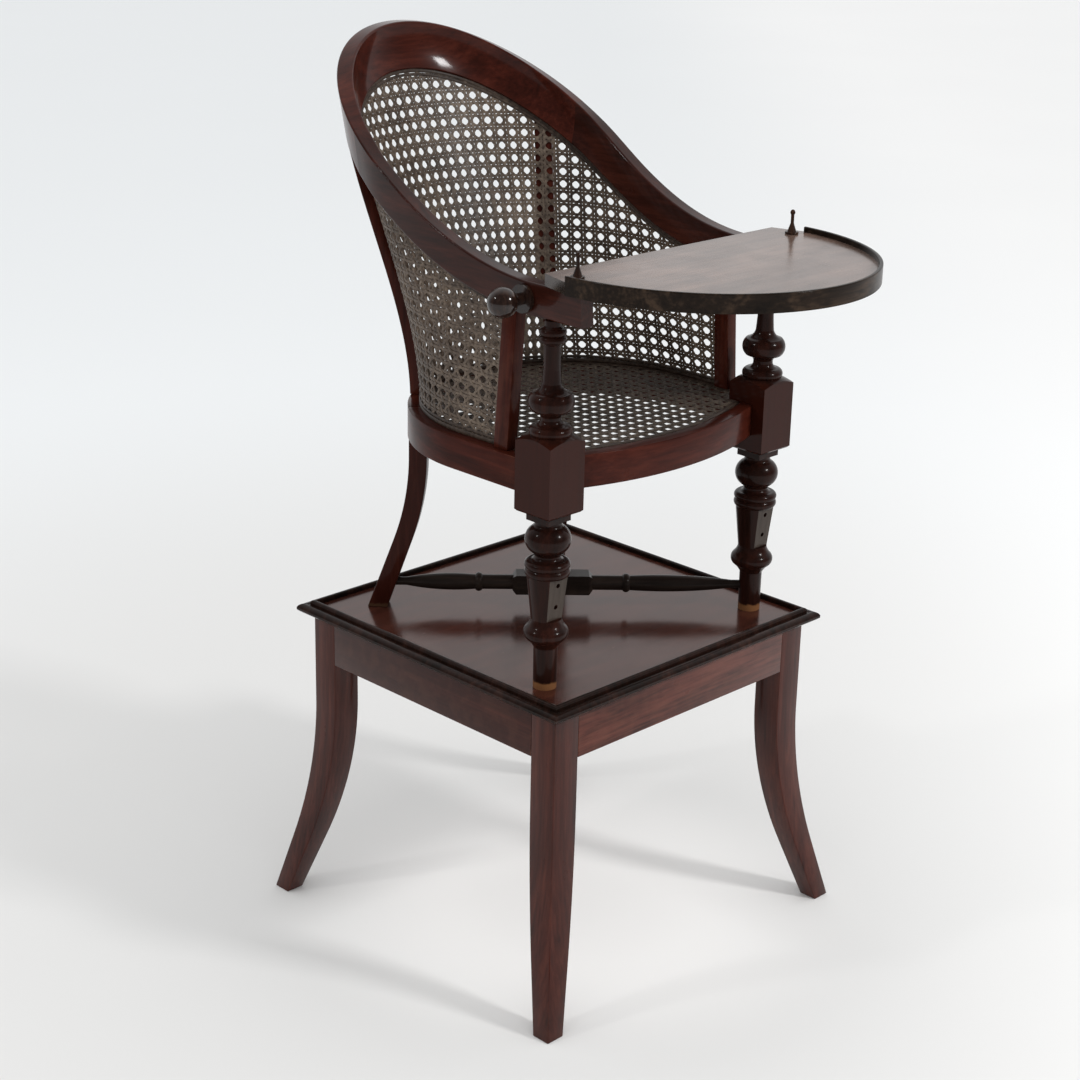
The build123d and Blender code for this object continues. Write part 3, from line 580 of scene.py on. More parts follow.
@dataclass
class Plan:
    """The chair's plan and side heights, which the cane follows."""

    front_legs_y: float = -0.096
    seat_z: float = 0.590
    table_z: float = 0.350
    block_half: float = 0.024
    block_inner: float = 0.1355
    seat_straight: float = 0.120
    seat_half: float = 0.166
    seat_depth: float = 0.162
    arm_half: float = 0.1665
    crest_half: float = 0.173
    rise_start: float = 0.020
    rise_end: float = 0.214
    rise_slope: float = 0.66
    spread_start: float = 0.060
    crest_straight: float = 0.235
    crest_depth: float = 0.179
    arm_height: float = 0.412
    arm_drop: float = 0.033
    crest_drop: float = 0.050
    arm_lean: float = 0.0015
    crest_lean: float = 0.0085
    top_inset: float = 0.013
    bow: float = 0.0085
    stile_y: float = 0.056
    seat_stile_share: float = 0.714
    crest_stile_share: float = 0.625
    spread_steps: int = 40
    quarter_steps: int = 120
    seat_line: list[Vector] = field(init=False)
    crest_line: list[Vector] = field(init=False)

    def __post_init__(self) -> None:
        """Draw the right half of both plan lines, from the front to the middle of the back."""
        self.seat_line = [Vector((self.seat_half, self.block_half, 0)),
                          Vector((self.seat_half, self.seat_straight, 0))]
        self.seat_line += self.quarter(self.seat_straight, self.seat_half, self.seat_depth)
        self.crest_line = [Vector((self.arm_half, self.rise_start, 0))]
        for i in range(self.spread_steps + 1):
            t = i / self.spread_steps
            x = self.arm_half + (self.crest_half - self.arm_half) * t * t * (3 - 2 * t)
            y = self.spread_start + (self.crest_straight - self.spread_start) * t
            self.crest_line.append(Vector((x, y, 0)))
        self.crest_line += self.quarter(self.crest_straight, self.crest_half, self.crest_depth)

    def quarter(self, middle_y: float, half: float, depth: float) -> list[Vector]:
        """Draw a quarter ellipse from the right side to the back.

        Args:
            middle_y: how far back its middle lies.
            half: its half width.
            depth: its depth.

        Returns:
            Its points, without the first.
        """
        angles = [i * math.pi / 2 / self.quarter_steps for i in range(1, self.quarter_steps + 1)]
        return [Vector((half * math.cos(angle), middle_y + depth * math.sin(angle), 0))
                for angle in angles]

    @staticmethod
    def length(line: list[Vector]) -> float:
        """Length of a line of points."""
        return sum((b - a).length for a, b in zip(line, line[1:]))

    def station(self, line: list[Vector], share: float) -> tuple[Vector, Vector]:
        """Point and outward direction at a share of a half line; past 1 it is on the left.

        Args:
            line: the right half of a plan line.
            share: from 0 at the right front to 2 at the left front.

        Returns:
            The point and the outward unit vector, in the plan.
        """
        side = -1 if share > 1 else 1
        left = min(share, 2 - share) * self.length(line)
        for a, b in zip(line, line[1:]):
            step = (b - a).length
            if left <= step or b is line[-1]:
                break
            left -= step
        way = (b - a).normalized()
        spot = a + way * left
        return Vector((side * spot.x, spot.y, 0)), Vector((side * way.y, -way.x, 0))

    def rim_z(self, y: float) -> float:
        """Find the height of the rail's outer top edge.

        Args:
            y: how far back, from the middle of the front legs.

        Returns:
            The height above the table.
        """
        run = self.rise_end - self.rise_start
        curved = min(max(y - self.rise_start, 0.0), run)
        beyond = max(y - self.rise_end, 0.0)
        return self.arm_height + self.rise_slope * (curved ** 2 / (2 * run) + beyond)

    def swell(self, arm: float, crest: float, y: float) -> float:
        """Find a size that grows from the arm to the crest.

        Args:
            arm: the size at the arm.
            crest: the size at the crest.
            y: how far back, from the middle of the front legs.

        Returns:
            The size there.
        """
        full = self.crest_straight + self.crest_depth - self.rise_start
        share = (max(y, self.rise_start) - self.rise_start) / full
        return arm + (crest - arm) * share * share * (3 - 2 * share)

    def on_object(self, point: Vector, z: float) -> Vector:
        """A plan point at a height above the table, in the object's frame."""
        return Vector((point.x, point.y + self.front_legs_y, z + self.table_z))

    def first_share(self) -> float:
        """Share of the seat's line at which the cane starts, inside the panel's stile."""
        return (self.stile_y - self.block_half) / self.length(self.seat_line)

    def ruling(self, share: float) -> Ruling:
        """The cane's line at a share of the seat's plan line.

        Args:
            share: share of the seat's line, from 0 at the right front to 2 at the left front.

        Returns:
            The line, in the object's frame.
        """
        low, low_out = self.station(self.seat_line, share)
        here = min(share, 2 - share)
        first_seat = self.first_share()
        first_crest = (self.stile_y - self.rise_start) / self.length(self.crest_line)
        side = min((here - first_seat) / (self.seat_stile_share - first_seat), 1.0)
        if side < 1:
            high_share = first_crest + (self.crest_stile_share - first_crest) * side
        else:
            t = (here - self.seat_stile_share) / (1 - self.seat_stile_share)
            high_share = self.crest_stile_share + (1 - self.crest_stile_share) * t
        high, high_out = self.station(self.crest_line, 2 - high_share if share > 1 else high_share)
        z = self.rim_z(high.y) - self.swell(self.arm_drop, self.crest_drop, high.y)
        inward = self.swell(self.arm_lean, self.crest_lean, high.y) + self.top_inset
        return Ruling(self.on_object(low, self.seat_z - self.table_z),
                      self.on_object(high - high_out * inward, z),
                      (low_out + high_out).normalized() * (self.bow * side))


def mesh_piece(name: str, verts: Sequence[Vector], faces: Sequence[Sequence[int]],
               material: bpy.types.Material, smooth_below: float = math.radians(50)) -> bpy.types.Object:
    """Make a mesh object.

    Args:
        name: the piece's name.
        verts: its points.
        faces: its faces, as indices.
        material: its finish.
        smooth_below: faces that meet under this angle, in radians, are shaded as one.

    Returns:
        The object, linked into the scene.
    """
    mesh = bpy.data.meshes.new(name)
    mesh.from_pydata([tuple(v) for v in verts], [], [tuple(f) for f in faces])
    mesh.validate()
    mesh.shade_smooth()
    mesh.set_sharp_from_angle(angle=smooth_below)
    mesh.materials.append(material)
    piece = bpy.data.objects.new(name, mesh)
    bpy.context.scene.collection.objects.link(piece)
    return piece


class Ribbon:
    """Collects strips of cane with a rounded face into one mesh."""

    PROFILE = ((-0.5, -0.5), (-0.5, 0.0), (-0.28, 0.42), (0.0, 0.5), (0.28, 0.42), (0.5, 0.0),
               (0.5, -0.5))
    FEWEST_POINTS = 3

    def __init__(self) -> None:
        """Start with no strips."""
        self.verts: list[Vector] = []
        self.faces: list[tuple[int, ...]] = []

    def add(self, points: Sequence[Vector], normals: Sequence[Vector], width: float,
            thickness: float, closed: bool = False) -> None:
        """Add one strip, unless it is too short to show.

        Args:
            points: its centreline.
            normals: the direction that its rounded face looks to, at each point.
            width: its width.
            thickness: its thickness.
            closed: whether it runs round to its start.
        """
        count = len(points)
        if count < self.FEWEST_POINTS:
            return
        base = len(self.verts)
        for i, (point, normal) in enumerate(zip(points, normals)):
            before = points[i - 1] if (i or closed) else point
            after = points[(i + 1) % count] if (i + 1 < count or closed) else point
            side = (after - before).cross(normal).normalized()
            for across, up in self.PROFILE:
                self.verts.append(point + side * (across * width) + normal * (up * thickness))
        size = len(self.PROFILE)
        for i in range(count if closed else count - 1):
            start = base + i * size
            other = base + (i + 1) % count * size
            for k in range(size):
                n = (k + 1) % size
                self.faces.append((start + k, other + k, other + n, start + n))
        if not closed:
            self.faces.append(tuple(base + k for k in range(size)))
            self.faces.append(tuple(base + (count - 1) * size + k for k in reversed(range(size))))


@dataclass
class Weave:
    """Six-way cane on a surface with a lattice of columns and rows.

    The surface gives a point for a place in the lattice, and inside says where there is cane.
    """

    surface: Callable[[float, float], Vector]
    inside: Callable[[float, float], bool]
    columns: tuple[int, int]
    rows: tuple[int, int]
    pair_share: float = 0.25
    strand_width: float = 0.0027
    strand_thickness: float = 0.0008
    pair_lift: float = 0.0005
    cross_lift: float = 0.0008
    step: float = 0.125
    feel: float = 0.05

    def normal(self, i: float, j: float) -> Vector:
        """Find the unit vector across the surface.

        Args:
            i: the column.
            j: the row.

        Returns:
            The unit vector.
        """
        d = self.feel
        across = self.surface(i + d, j) - self.surface(i - d, j)
        up = self.surface(i, j + d) - self.surface(i, j - d)
        return across.cross(up).normalized()

    def strand(self, ribbon: Ribbon, spots: Iterable[tuple[float, float]],
               lift: Callable[[float, float], float]) -> None:
        """Lay one strand, cut where there is no cane.

        Args:
            ribbon: takes the strips.
            spots: the strand's places in the lattice.
            lift: how far it stands off the surface at a place.
        """
        points: list[Vector] = []
        normals: list[Vector] = []
        for i, j in spots:
            if self.inside(i, j):
                normal = self.normal(i, j)
                points.append(self.surface(i, j) + normal * lift(i, j))
                normals.append(normal)
            elif points:
                ribbon.add(points, normals, self.strand_width, self.strand_thickness)
                points, normals = [], []
        ribbon.add(points, normals, self.strand_width, self.strand_thickness)

    def along(self, first: int, last: int) -> list[float]:
        """Places from one column or row to another, a step apart."""
        return [first + k * self.step for k in range(round((last - first) / self.step) + 1)]

    def lay(self) -> Ribbon:
        """Weave the whole field.

        Returns:
            The strips of all strands.
        """
        ribbon = Ribbon()
        (first_i, last_i), (first_j, last_j) = self.columns, self.rows
        along_i = self.along(first_i, last_i)
        along_j = self.along(first_j, last_j)
        for side in (-0.5, 0.5):
            shift = side * self.pair_share
            for column in range(first_i, last_i + 1):
                self.strand(ribbon, ((column + shift, j) for j in along_j),
                            lambda i, j: -self.pair_lift * (1 + math.cos(2 * math.pi * j)) / 2)
            for row in range(first_j, last_j + 1):
                self.strand(ribbon, ((i, row + shift) for i in along_i),
                            lambda i, j: self.pair_lift * (1 + math.cos(2 * math.pi * i)) / 2)
        for lean in (1, -1):
            for start in range(first_i - (last_j - first_j) - 1, last_i + (last_j - first_j) + 2):
                self.strand(ribbon, ((start + 0.5 + lean * (j - first_j), j) for j in along_j),
                            lambda i, j, lean=lean: lean * self.cross_lift * math.cos(2 * math.pi * i))
        return ribbon


@dataclass
class CaneWork:
    """The woven seat, the woven back and sides, and the flat binding round them."""

    plan: Plan
    seat_pitch: float = 0.0132
    side_columns: int = 15
    back_columns: int = 22
    back_pitch: float = 0.0133
    line_steps: int = 4
    rail_inner_half: float = 0.158
    rail_inner_depth: float = 0.154
    lap: float = 0.006
    gap: float = 0.0003
    front_y: float = 0.008
    front_bow: float = 0.026
    front_steps: int = 48
    notch_steps: int = 4
    round_steps: int = 96
    cane_thickness: float = 0.0024
    binding_width: float = 0.0062
    binding_thickness: float = 0.0012
    binding_rows: tuple[Span, ...] = ((0.0042, 0.0021), (0.003, 0.0063))
    binding_margin: float = 0.1
    edge_clear: float = 0.001
    end_clear: float = 0.001
    strands: Rattan = Rattan("cane")
    seat_strands: Rattan = Rattan("cane_seat", dark=(0.017, 0.011, 0.0075),
                                  middle=(0.055, 0.039, 0.028), light=(0.13, 0.098, 0.072))
    flat_cane: Rattan = Rattan("cane_binding", dark=(0.012, 0.007, 0.005),
                               middle=(0.035, 0.022, 0.015), light=(0.08, 0.055, 0.04))

    @property
    def columns(self) -> int:
        """Columns of the back and both sides together."""
        return self.back_columns + 2 * self.side_columns

    def outline(self, inset: float) -> list[Vector]:
        """The seat cane's outline, moved inwards.

        Args:
            inset: how far.

        Returns:
            Its points, counter-clockwise, at the seat's height.
        """
        plan = self.plan
        half = self.rail_inner_half + self.lap - inset
        depth = self.rail_inner_depth + self.lap - inset
        notch_x = plan.block_inner - self.gap - inset
        notch_y = plan.block_half + self.gap + inset
        front = self.front_y + inset
        spots: list[tuple[float, float]] = []
        for k in range(self.front_steps + 1):
            x = -notch_x + 2 * notch_x * k / self.front_steps
            spots.append((x, front - self.front_bow * (1 - (x / notch_x) ** 2)))
        n = self.notch_steps
        spots += [(notch_x, notch_y * k / n + front * (1 - k / n)) for k in range(1, n + 1)]
        spots += [(half, notch_y)]
        for k in range(self.round_steps + 1):
            angle = math.pi * k / self.round_steps
            spots.append((half * math.cos(angle), plan.seat_straight + depth * math.sin(angle)))
        spots += [(-half, notch_y)]
        spots += [(-notch_x, notch_y * (1 - k / n) + front * k / n) for k in range(n)]
        z = plan.seat_z - plan.table_z
        return [plan.on_object(Vector((x, y, 0)), z) for x, y in spots]

    def seat_weave(self) -> Weave:
        """Set out the seat's weave, level with the rails' tops.

        Returns:
            The weave, not yet laid.
        """
        plan = self.plan
        pitch = self.seat_pitch
        half = self.rail_inner_half + self.lap - self.edge_clear
        depth = self.rail_inner_depth + self.lap - self.edge_clear
        z = plan.seat_z - plan.table_z - self.cane_thickness / 2

        def surface(i: float, j: float) -> Vector:
            """Point of the seat's plane."""
            return plan.on_object(Vector((i * pitch, plan.seat_straight + j * pitch, 0)), z)

        def inside(i: float, j: float) -> bool:
            """Say whether there is cane.

            Args:
                i: the column.
                j: the row.

            Returns:
                Whether the place lies inside the seat's outline.
            """
            x = i * pitch
            y = plan.seat_straight + j * pitch
            back = max(0.0, y - plan.seat_straight) / depth
            if (x / half) ** 2 + back ** 2 > 1:
                return False
            if abs(x) > plan.block_inner - self.gap - self.edge_clear:
                return y > plan.block_half + self.gap + self.edge_clear
            bowed = self.front_bow * (1 - (x / plan.block_inner) ** 2)
            return y > self.front_y + self.edge_clear - bowed

        reach = math.ceil(half / pitch)
        rows = (-math.ceil((plan.seat_straight + self.front_bow) / pitch), math.ceil(depth / pitch))
        return Weave(surface, inside, (-reach, reach), rows)

    def rulings(self) -> list[Ruling]:
        """Rule the back and the sides.

        Returns:
            A few lines for each column, from right to left.
        """
        first = self.plan.first_share()
        stile = self.plan.seat_stile_share
        shares = [first]
        for start, end, columns in ((first, stile, self.side_columns),
                                    (stile, 2 - stile, self.back_columns),
                                    (2 - stile, 2 - first, self.side_columns)):
            count = columns * self.line_steps
            shares += [start + (end - start) * (k + 1) / count for k in range(count)]
        return [self.plan.ruling(share) for share in shares]

    def back_weave(self) -> Weave:
        """Set out the weave of the sides and the back, in one run.

        Returns:
            The weave, not yet laid.
        """
        rulings = self.rulings()
        low_z = self.plan.seat_z
        pitch = self.back_pitch
        end = len(rulings) - 1 - self.end_clear

        def line(i: float) -> Ruling:
            """The line at a place between columns."""
            place = min(max(i * self.line_steps, 0.0), end)
            k = int(place)
            return rulings[k].towards(rulings[k + 1], place - k)

        def surface(i: float, j: float) -> Vector:
            """Point of the back's surface at a column and a row."""
            return line(i).at(low_z + j * pitch)

        def inside(i: float, j: float) -> bool:
            """Whether there is cane here."""
            return 0 <= i <= self.columns and j >= 0 and low_z + j * pitch < line(i).high.z

        rows = math.ceil((max(ruling.high.z for ruling in rulings) - low_z) / pitch)
        return Weave(surface, inside, (0, self.columns), (0, rows))

    def back_binding(self, weave: Weave) -> Ribbon:
        """Bind the cane along the seat rail and under the rail above, on both faces.

        Args:
            weave: the weave that it edges.

        Returns:
            The binding's strips.
        """
        ribbon = Ribbon()
        rulings = self.rulings()
        lift = self.cane_thickness / 2
        least, most = self.binding_margin, self.columns - self.binding_margin
        places = [min(max(k / self.line_steps, least), most) for k in range(len(rulings))]
        for high_side in (False, True):
            for width, inset in self.binding_rows:
                heights = [r.high.z - inset if high_side else r.low.z + inset for r in rulings]
                normals = [weave.normal(i, (z - self.plan.seat_z) / self.back_pitch)
                           for i, z in zip(places, heights)]
                for face in (1, -1):
                    points = [r.at(z) + n * (face * lift) for r, z, n in zip(rulings, heights, normals)]
                    ribbon.add(points, [n * face for n in normals], width, self.binding_thickness)
        return ribbon

    def seat_binding(self) -> Ribbon:
        """Bind the seat's edge.

        Returns:
            The binding's one strip.
        """
        ribbon = Ribbon()
        line = self.outline(self.binding_width / 2)
        ribbon.add(line, [Vector((0, 0, 1))] * len(line), self.binding_width,
                   self.binding_thickness, True)
        return ribbon

    def build(self) -> None:
        """Weave and bind the seat and the back, in place of the solid panels."""
        back = self.back_weave()
        seat_cane = self.seat_strands.material()
        back_cane = self.strands.material()
        binding = self.flat_cane.material()
        for name, ribbon, rattan, nodes in (
                ("seat_weave", self.seat_weave().lay(), seat_cane, ("seat_cane",)),
                ("back_weave", back.lay(), back_cane, ("back_cane", "side_cane_left", "side_cane_right")),
                ("seat_binding", self.seat_binding(), binding, ()),
                ("back_binding", self.back_binding(back), binding, ())):
            piece = mesh_piece(name, ribbon.verts, ribbon.faces, rattan)
            if nodes:
                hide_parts(*nodes)
            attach(piece, "chair")
            LOG.info("%s: %d faces", piece.name, len(piece.data.polygons))


@dataclass
class Joinery:
    """Softens the arrises of wooden pieces and dresses the rest, node by node."""

    frame: dict[str, Any]
    arris: float = 0.0008
    leg_arris: float = 0.0012
    arris_segments: int = 3
    merge_within: float = 1e-6
    flat_angle: float = math.radians(0.4)
    arris_angle: float = math.radians(32)
    shading_angle: float = math.radians(35)

    def soften(self, node: str, material: bpy.types.Material, arris: float | None = None) -> None:
        """Replace a node with a copy that has rounded arrises.

        Args:
            node: the CAD node.
            material: its finish.
            arris: the rounding's width, where it isn't the usual one.
        """
        source = self.frame["nodes"][node]
        mesh = source.data.copy()
        mesh.name = f"{node}_polished"
        shape = bmesh.new()
        shape.from_mesh(mesh)
        bmesh.ops.remove_doubles(shape, verts=shape.verts, dist=self.merge_within)
        bmesh.ops.dissolve_limit(shape, angle_limit=self.flat_angle, verts=shape.verts,
                                 edges=shape.edges)
        shape.to_mesh(mesh)
        shape.free()
        mesh.materials.clear()
        mesh.materials.append(material)
        piece = bpy.data.objects.new(mesh.name, mesh)
        bpy.context.scene.collection.objects.link(piece)
        bevel = piece.modifiers.new("arris", "BEVEL")
        bevel.width = arris or self.arris
        bevel.segments = self.arris_segments
        bevel.limit_method = "ANGLE"
        bevel.angle_limit = self.arris_angle
        bevel.miter_outer = "MITER_ARC"
        evaluated = piece.evaluated_get(bpy.context.evaluated_depsgraph_get())
        piece.modifiers.clear()
        piece.data = bpy.data.meshes.new_from_object(evaluated)
        piece.data.shade_smooth()
        piece.data.set_sharp_from_angle(angle=self.shading_angle)
        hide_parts(node)
        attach(piece, source["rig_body"])
        LOG.info("%s: %d faces", piece.name, len(piece.data.polygons))

    def dress(self, node: str, material: bpy.types.Material) -> None:
        """Give a node that keeps its shape its finish.

        Args:
            node: the CAD node.
            material: its finish.
        """
        piece = self.frame["nodes"][node]
        piece.data.materials.clear()
        piece.data.materials.append(material)
        LOG.info("%s: dressed", node)


@dataclass
class Table:
    """The low table: sabre legs, aprons with their glue blocks, board and mitred moulding."""

    work: Joinery
    upright: Mahogany = Mahogany("table_upright", dark=(0.024, 0.0055, 0.0036),
                                 middle=(0.046, 0.0104, 0.0066), light=(0.078, 0.0195, 0.012),
                                 coat=0.85)

    def dress(self) -> None:
        """Finish the table."""
        work = self.work
        upright = self.upright.material()
        # Painted light and shade: the front and rear aprons and their glue blocks get a lighter, redder
        # copy of the wood and the side aprons a darker one, for the lamp that lights faces towards -Y
        # more than faces towards -X.
        sideways = replace(self.upright, name="table_lit_sideways", middle=(0.086, 0.023, 0.0155),
                           light=(0.128, 0.04, 0.0275), grain=Grain.ALONG_X).material()
        lengthways = replace(self.upright, name="table_shaded_lengthways", middle=(0.032, 0.0078, 0.0052),
                             light=(0.052, 0.0135, 0.009), grain=Grain.ALONG_Y).material()
        rim = replace(self.upright, name="table_rim", dark=(0.006, 0.0035, 0.0025),
                      middle=(0.015, 0.0066, 0.0048), light=(0.034, 0.0145, 0.01), coat=0.45,
                      wear_share=0.0).material()
        # The top's pale up-facing layer is partly dust and dulled polish and partly painted sheen.
        top = replace(self.upright, name="table_top", grain=Grain.ALONG_X, roughness=0.17, coat=0.0,
                      gloss=0.42, gloss_tint=(1.0, 0.66, 0.58), dust_and_sheen_share=0.5,
                      dust_and_sheen=(0.062, 0.027, 0.019), wear_share=0.0).material()
        for edges, wood in ((ENDS, sideways), (SIDES, lengthways)):
            for edge in edges:
                work.soften(f"table_apron_{edge}", wood)
                work.dress(f"table_glue_block_{edge}", wood)
                work.dress(f"table_moulding_{edge}", rim)
        for end in ENDS:
            for side in SIDES:
                work.soften(f"table_leg_{end}_{side}", upright, work.leg_arris)
        work.dress("table_board", top)


@dataclass
class Chair:
    """The armchair's wood: turned legs, seat frame, stiles, arms, crest and stretchers."""

    work: Joinery
    upright: Mahogany = Mahogany("chair_upright")
    stretcher: Mahogany = Mahogany("stretcher_through_black", dark=(0.006, 0.004, 0.0032),
                                   middle=(0.013, 0.009, 0.0075), light=(0.024, 0.016, 0.0125),
                                   worn=(0.05, 0.03, 0.022), grain=Grain.ACROSS_LEFT)
    rail_stretch: float = 9.0
    rail_coat: float = 0.6

    def dress(self) -> bpy.types.Material:
        """Finish the chair.

        Returns:
            The finish of its crosswise pieces, which the bar shares.
        """
        sideways = replace(self.upright, name="chair_sideways", grain=Grain.ALONG_X).material()
        self.dress_legs()
        self.dress_frame(sideways)
        self.dress_rails()
        self.dress_stretchers()
        return sideways

    def dress_legs(self) -> None:
        """Finish the turned front legs and the sawn rear legs."""
        turned = replace(self.upright, name="chair_turned", dark=(0.009, 0.0036, 0.0026),
                         middle=(0.0175, 0.0056, 0.0038), light=(0.033, 0.0096, 0.006), coat=0.35,
                         bare_below=0.3555, grey_flat=(0.4245, 0.471),
                         block_heights=(0.5365, 0.616), wear_share=0.0).material()
        swept = replace(self.upright, name="chair_swept", middle=(0.027, 0.0062, 0.004),
                        light=(0.045, 0.011, 0.0068), bare=(0.06, 0.03, 0.016),
                        bare_below=0.3525).material()
        for side in SIDES:
            self.work.dress(f"front_leg_{side}", turned)
            self.work.soften(f"rear_leg_{side}", swept, self.work.leg_arris)

    def dress_frame(self, sideways: bpy.types.Material) -> None:
        """Finish the seat rails' front and sides and the stiles.

        Args:
            sideways: the finish of the front rail.
        """
        upright = self.upright.material()
        lengthways = replace(self.upright, name="chair_lengthways", grain=Grain.ALONG_Y).material()
        self.work.soften("seat_rail_front", sideways)
        for side in SIDES:
            self.work.soften(f"seat_rail_{side}", lengthways)
            self.work.soften(f"panel_stile_{side}", upright)
            self.work.soften(f"back_stile_{side}", upright)

    def dress_rails(self) -> None:
        """Finish the arms, the crest and the seat's round back."""
        glossy = replace(self.upright, stretch=self.rail_stretch, coat=self.rail_coat, wear_share=0.0)
        crest = replace(glossy, name="chair_crest", grain=Grain.ALONG_X).material()
        arm = replace(glossy, name="chair_arm", dark=(0.014, 0.004, 0.0025),
                      middle=(0.027, 0.0065, 0.004), light=(0.048, 0.012, 0.007),
                      grain=Grain.ALONG_Y).material()
        for side in SIDES:
            self.work.dress(f"arm_{side}", arm)
        self.work.soften("seat_rail_back", crest)
        self.work.dress("crest_rail", crest)

    def dress_stretchers(self) -> None:
        """Finish the crossed stretchers."""
        halves = replace(self.stretcher, name="stretcher_half_black",
                         grain=Grain.ACROSS_RIGHT).material()
        self.work.dress("stretcher_through", self.stretcher.material())
        for end in ENDS:
            self.work.dress(f"stretcher_half_{end}", halves)


@dataclass
class Tray:
    """The round-fronted tray, its lip and its two turned pins."""

    work: Joinery
    edge: Mahogany = Mahogany("tray_edge", dark=(0.006, 0.004, 0.003), middle=(0.014, 0.0088, 0.006),
                              light=(0.045, 0.028, 0.018), grain=Grain.ALONG_X, coat=0.22,
                              wear_share=0.0)
    pin: Mahogany = Mahogany("pin_wood", dark=(0.01, 0.006, 0.005), middle=(0.03, 0.015, 0.01),
                             light=(0.1, 0.045, 0.02), coat=0.5, wear_share=0.0)

    def dress(self) -> None:
        """Finish the tray."""
        # The tray top's pale up-facing layer is partly dust and dulled polish and partly painted sheen.
        top = replace(self.edge, name="tray_top", roughness=0.2, coat=0.0, gloss=0.7,
                      gloss_tint=(1.0, 0.88, 0.84), dust_and_sheen_share=0.9,
                      dust_and_sheen=(0.2, 0.128, 0.1)).material()
        pin = self.pin.material()
        self.work.dress("tray_board", top)
        self.work.dress("tray_lip", self.edge.material())
        for side in SIDES:
            self.work.dress(f"tray_pin_{side}", pin)


@dataclass
class SafetyBar:
    """The turned bar through both arms and its ball knob."""

    work: Joinery
    ball: Mahogany = Mahogany("knob_wood", dark=(0.006, 0.003, 0.002), middle=(0.016, 0.008, 0.006),
                              light=(0.045, 0.022, 0.014), coat=0.9, coat_index=1.45,
                              wear_share=0.0)

    def dress(self, rod: bpy.types.Material) -> None:
        """Finish the bar.

        Args:
            rod: the finish of the rod.
        """
        self.work.dress("safety_bar_rod", rod)
        self.work.dress("safety_bar_knob", self.ball.material())


@dataclass
class Fastening:
    """The thumbscrew and its washer under the table."""

    work: Joinery
    iron: Metal = Metal("dull_iron")

    def dress(self) -> None:
        """Finish the screw and its washer."""
        iron = self.iron.material()
        self.work.dress("fixing_screw", iron)
        self.work.dress("screw_washer", iron)


@dataclass(frozen=True)
class Lamp:
    """A soft square lamp: where it hangs, its side and its power in watts."""

    name: str
    place: tuple[float, float, float]
    side: float
    power: float


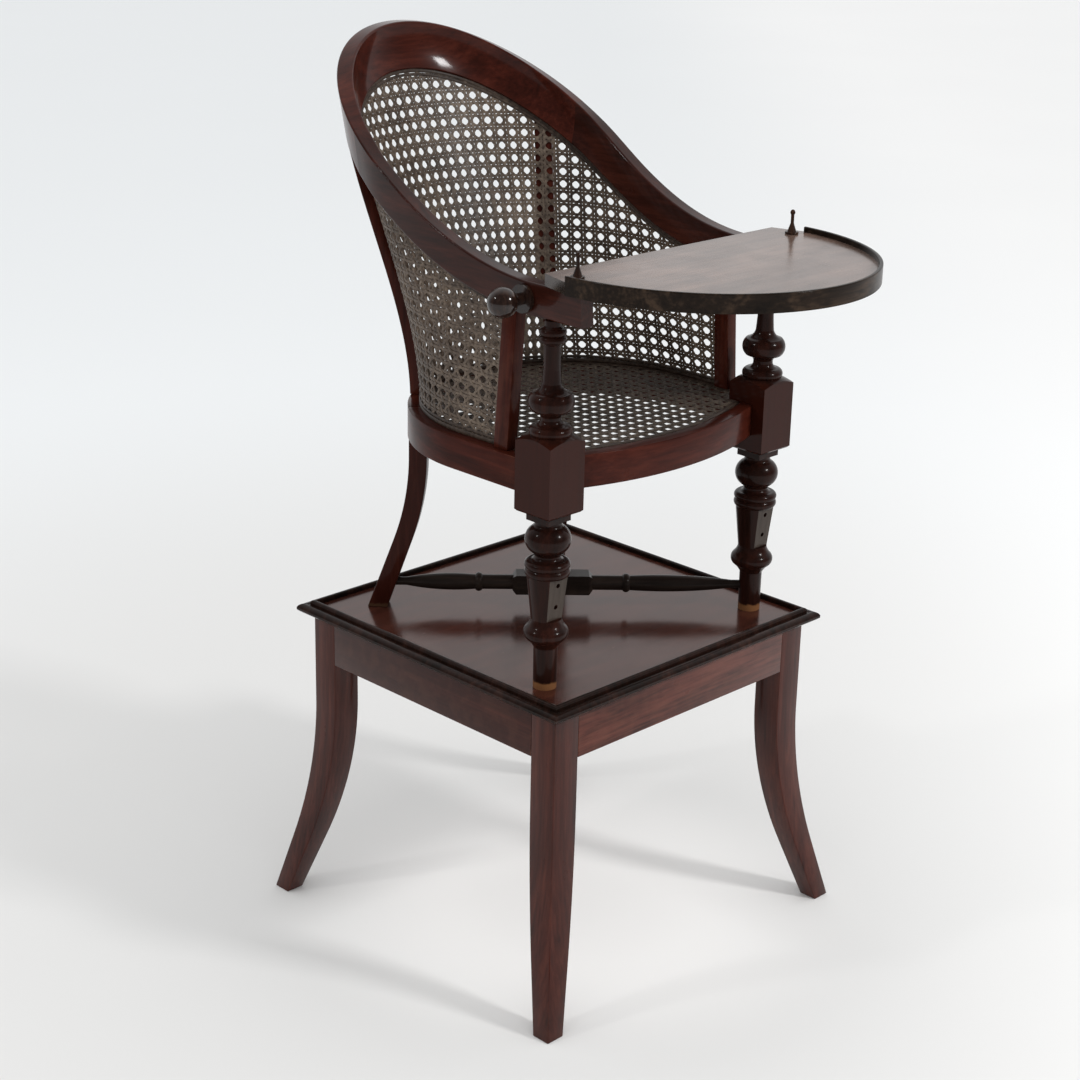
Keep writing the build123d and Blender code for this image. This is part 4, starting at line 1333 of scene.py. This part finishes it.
@dataclass
class Studio:
    """Pale floor, two soft lamps, white surroundings and the camera."""

    camera_place: tuple[float, float, float] = (-1.5648, -1.4824, 1.2279)
    heading: float = math.radians(44.84)
    pitch: float = math.radians(20.07)
    roll: float = math.radians(1.283)
    focal_px: float = 2135.8
    frame_px: float = 1080.0
    sensor: float = 36.0
    lamps: tuple[Lamp, ...] = (Lamp("lamp_left", (-2.3, 0.9, 2.3), 0.22, 8.0),
                               Lamp("lamp_right", (0.9, -2.4, 2.2), 0.4, 36.0))
    lamp_aim: tuple[float, float, float] = (0.0, 0.0, 0.5)
    white: Colour = (0.98, 0.99, 1.0)
    daylight: float = 0.97
    backdrop: float = 0.92
    room: float = 0.1
    backdrop_rise: float = 0.3
    backdrop_edge: Span = (-0.1, 0.7)
    floor_half: float = 12.0
    floor_rightward: tuple[float, float, float] = (0.7, -0.7, 0.0)
    # Painted light and shade on the floor: lighter under the object, darker near it, paler far off and
    # lighter towards the right.
    floor_lit_under: Colour = (0.97, 0.955, 0.935)
    floor_shaded_near: Colour = (0.735, 0.728, 0.715)
    floor_far: Colour = (0.85, 0.865, 0.87)
    floor_lit_right: Colour = (0.96, 0.955, 0.945)
    floor_cloud: Colour = (0.8, 0.8, 0.8)
    floor_clouds: Noise = Noise(1.2)
    floor_cloud_share: float = 0.15
    under_edge: Span = (0.12, 0.35)
    far_edge: Span = (0.8, 2.3)
    right_edge: Span = (0.1, 1.4)
    floor_roughness: float = 0.8
    floor_gloss: float = 0.1

    def camera(self) -> None:
        """Place the camera where the photograph was taken from."""
        level = Vector((math.cos(self.heading), math.sin(self.heading), 0))
        look = level * math.cos(self.pitch) - Vector((0, 0, math.sin(self.pitch)))
        right = Vector((level.y, -level.x, 0))
        up = right.cross(look)
        turned_right = right * math.cos(self.roll) + up * math.sin(self.roll)
        turned_up = up * math.cos(self.roll) - right * math.sin(self.roll)
        matrix = Matrix((turned_right, turned_up, -look)).transposed().to_4x4()
        matrix.translation = Vector(self.camera_place)
        data = bpy.data.cameras.new("camera")
        data.sensor_width = self.sensor
        data.lens = self.sensor * self.focal_px / self.frame_px
        camera = bpy.data.objects.new("camera", data)
        bpy.context.scene.collection.objects.link(camera)
        camera.matrix_world = matrix
        bpy.context.scene.camera = camera

    def hang(self, lamp: Lamp) -> None:
        """Hang a lamp that looks at the chair.

        Args:
            lamp: what to hang.
        """
        data = bpy.data.lights.new(lamp.name, "AREA")
        data.shape = "SQUARE"
        data.size = lamp.side
        data.energy = lamp.power
        light = bpy.data.objects.new(lamp.name, data)
        light.location = lamp.place
        light.rotation_mode = "QUATERNION"
        aim = Vector(self.lamp_aim) - Vector(lamp.place)
        light.rotation_quaternion = aim.to_track_quat("-Z", "Y")
        bpy.context.scene.collection.objects.link(light)

    def surroundings(self) -> None:
        """Light evenly from a world that looks white.

        Gloss sees a white backdrop behind the object and a dim room in front of it.
        """
        s = Shader.of_world("surroundings")
        bpy.context.scene.world = s.owner

        def ray(kind: str) -> Link:
            """Whether a ray is of a kind."""
            return s.node("ShaderNodeLightPath", output=kind)

        def light(strength: Number) -> Link:
            """White light of a strength."""
            return s.node("ShaderNodeBackground", None,
                          {"Color": (*self.white, 1.0), "Strength": strength})

        def either(mask: Link, first: Link, second: Link) -> Link:
            """The first light, or the second where the mask is 1."""
            return s.node("ShaderNodeMixShader", None, {0: mask, 1: first, 2: second})

        behind = (math.cos(self.heading), math.sin(self.heading), self.backdrop_rise)
        facing = s.vector_math("DOT_PRODUCT", s.node("ShaderNodeTexCoord", output="Generated"), behind)
        seen_in_gloss = s.between(facing, *self.backdrop_edge, self.room, self.backdrop)
        clear = s.math("MAXIMUM", ray("Is Camera Ray"), ray("Is Transmission Ray"))
        soft = either(ray("Is Glossy Ray"), light(self.daylight), light(seen_in_gloss))
        s.close(either(clear, soft, light(self.backdrop)))

    def floor(self) -> None:
        """Lay a pale floor that keeps the object's shadow, with painted light and shade: lighter right
        under the object, darker near it, paler far off and lighter towards the right.
        """
        s = Shader.of_material("pale_floor")
        place = s.place()
        away = s.vector_math("LENGTH", place)
        rightward = s.vector_math("DOT_PRODUCT", place, self.floor_rightward)
        # Painted light and shade: lighter under the object, darker around it, paler far away and to the
        # right.
        colour = s.mix(s.between(away, *self.under_edge), self.floor_lit_under, self.floor_shaded_near)
        colour = s.mix(s.between(away, *self.far_edge), colour, self.floor_far)
        colour = s.mix(s.between(rightward, *self.right_edge), colour, self.floor_lit_right)
        clouds = s.noise(place, self.floor_clouds) * self.floor_cloud_share
        material = s.finish({"Base Color": s.mix(clouds, colour, self.floor_cloud),
                             "Roughness": self.floor_roughness,
                             "Specular IOR Level": self.floor_gloss})
        corners = [Vector((x * self.floor_half, y * self.floor_half, 0))
                   for x, y in ((-1, -1), (1, -1), (1, 1), (-1, 1))]
        mesh_piece("floor", corners, [(0, 1, 2, 3)], material)

    def build(self) -> None:
        """Set up the whole studio."""
        self.camera()
        self.surroundings()
        self.floor()
        for lamp in self.lamps:
            self.hang(lamp)
        bpy.context.scene.view_settings.view_transform = "Standard"
        LOG.info("studio: camera, surroundings, floor and %d lamps", len(self.lamps))


def main() -> None:
    """Build the dressed chair."""
    logging.basicConfig(level=logging.INFO, format="%(name)s: %(message)s")
    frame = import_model()
    Studio().build()
    work = Joinery(frame)
    Table(work).dress()
    crosswise = Chair(work).dress()
    Tray(work).dress()
    SafetyBar(work).dress(crosswise)
    Fastening(work).dress()
    CaneWork(Plan()).build()


if __name__ == "__main__":
    main()
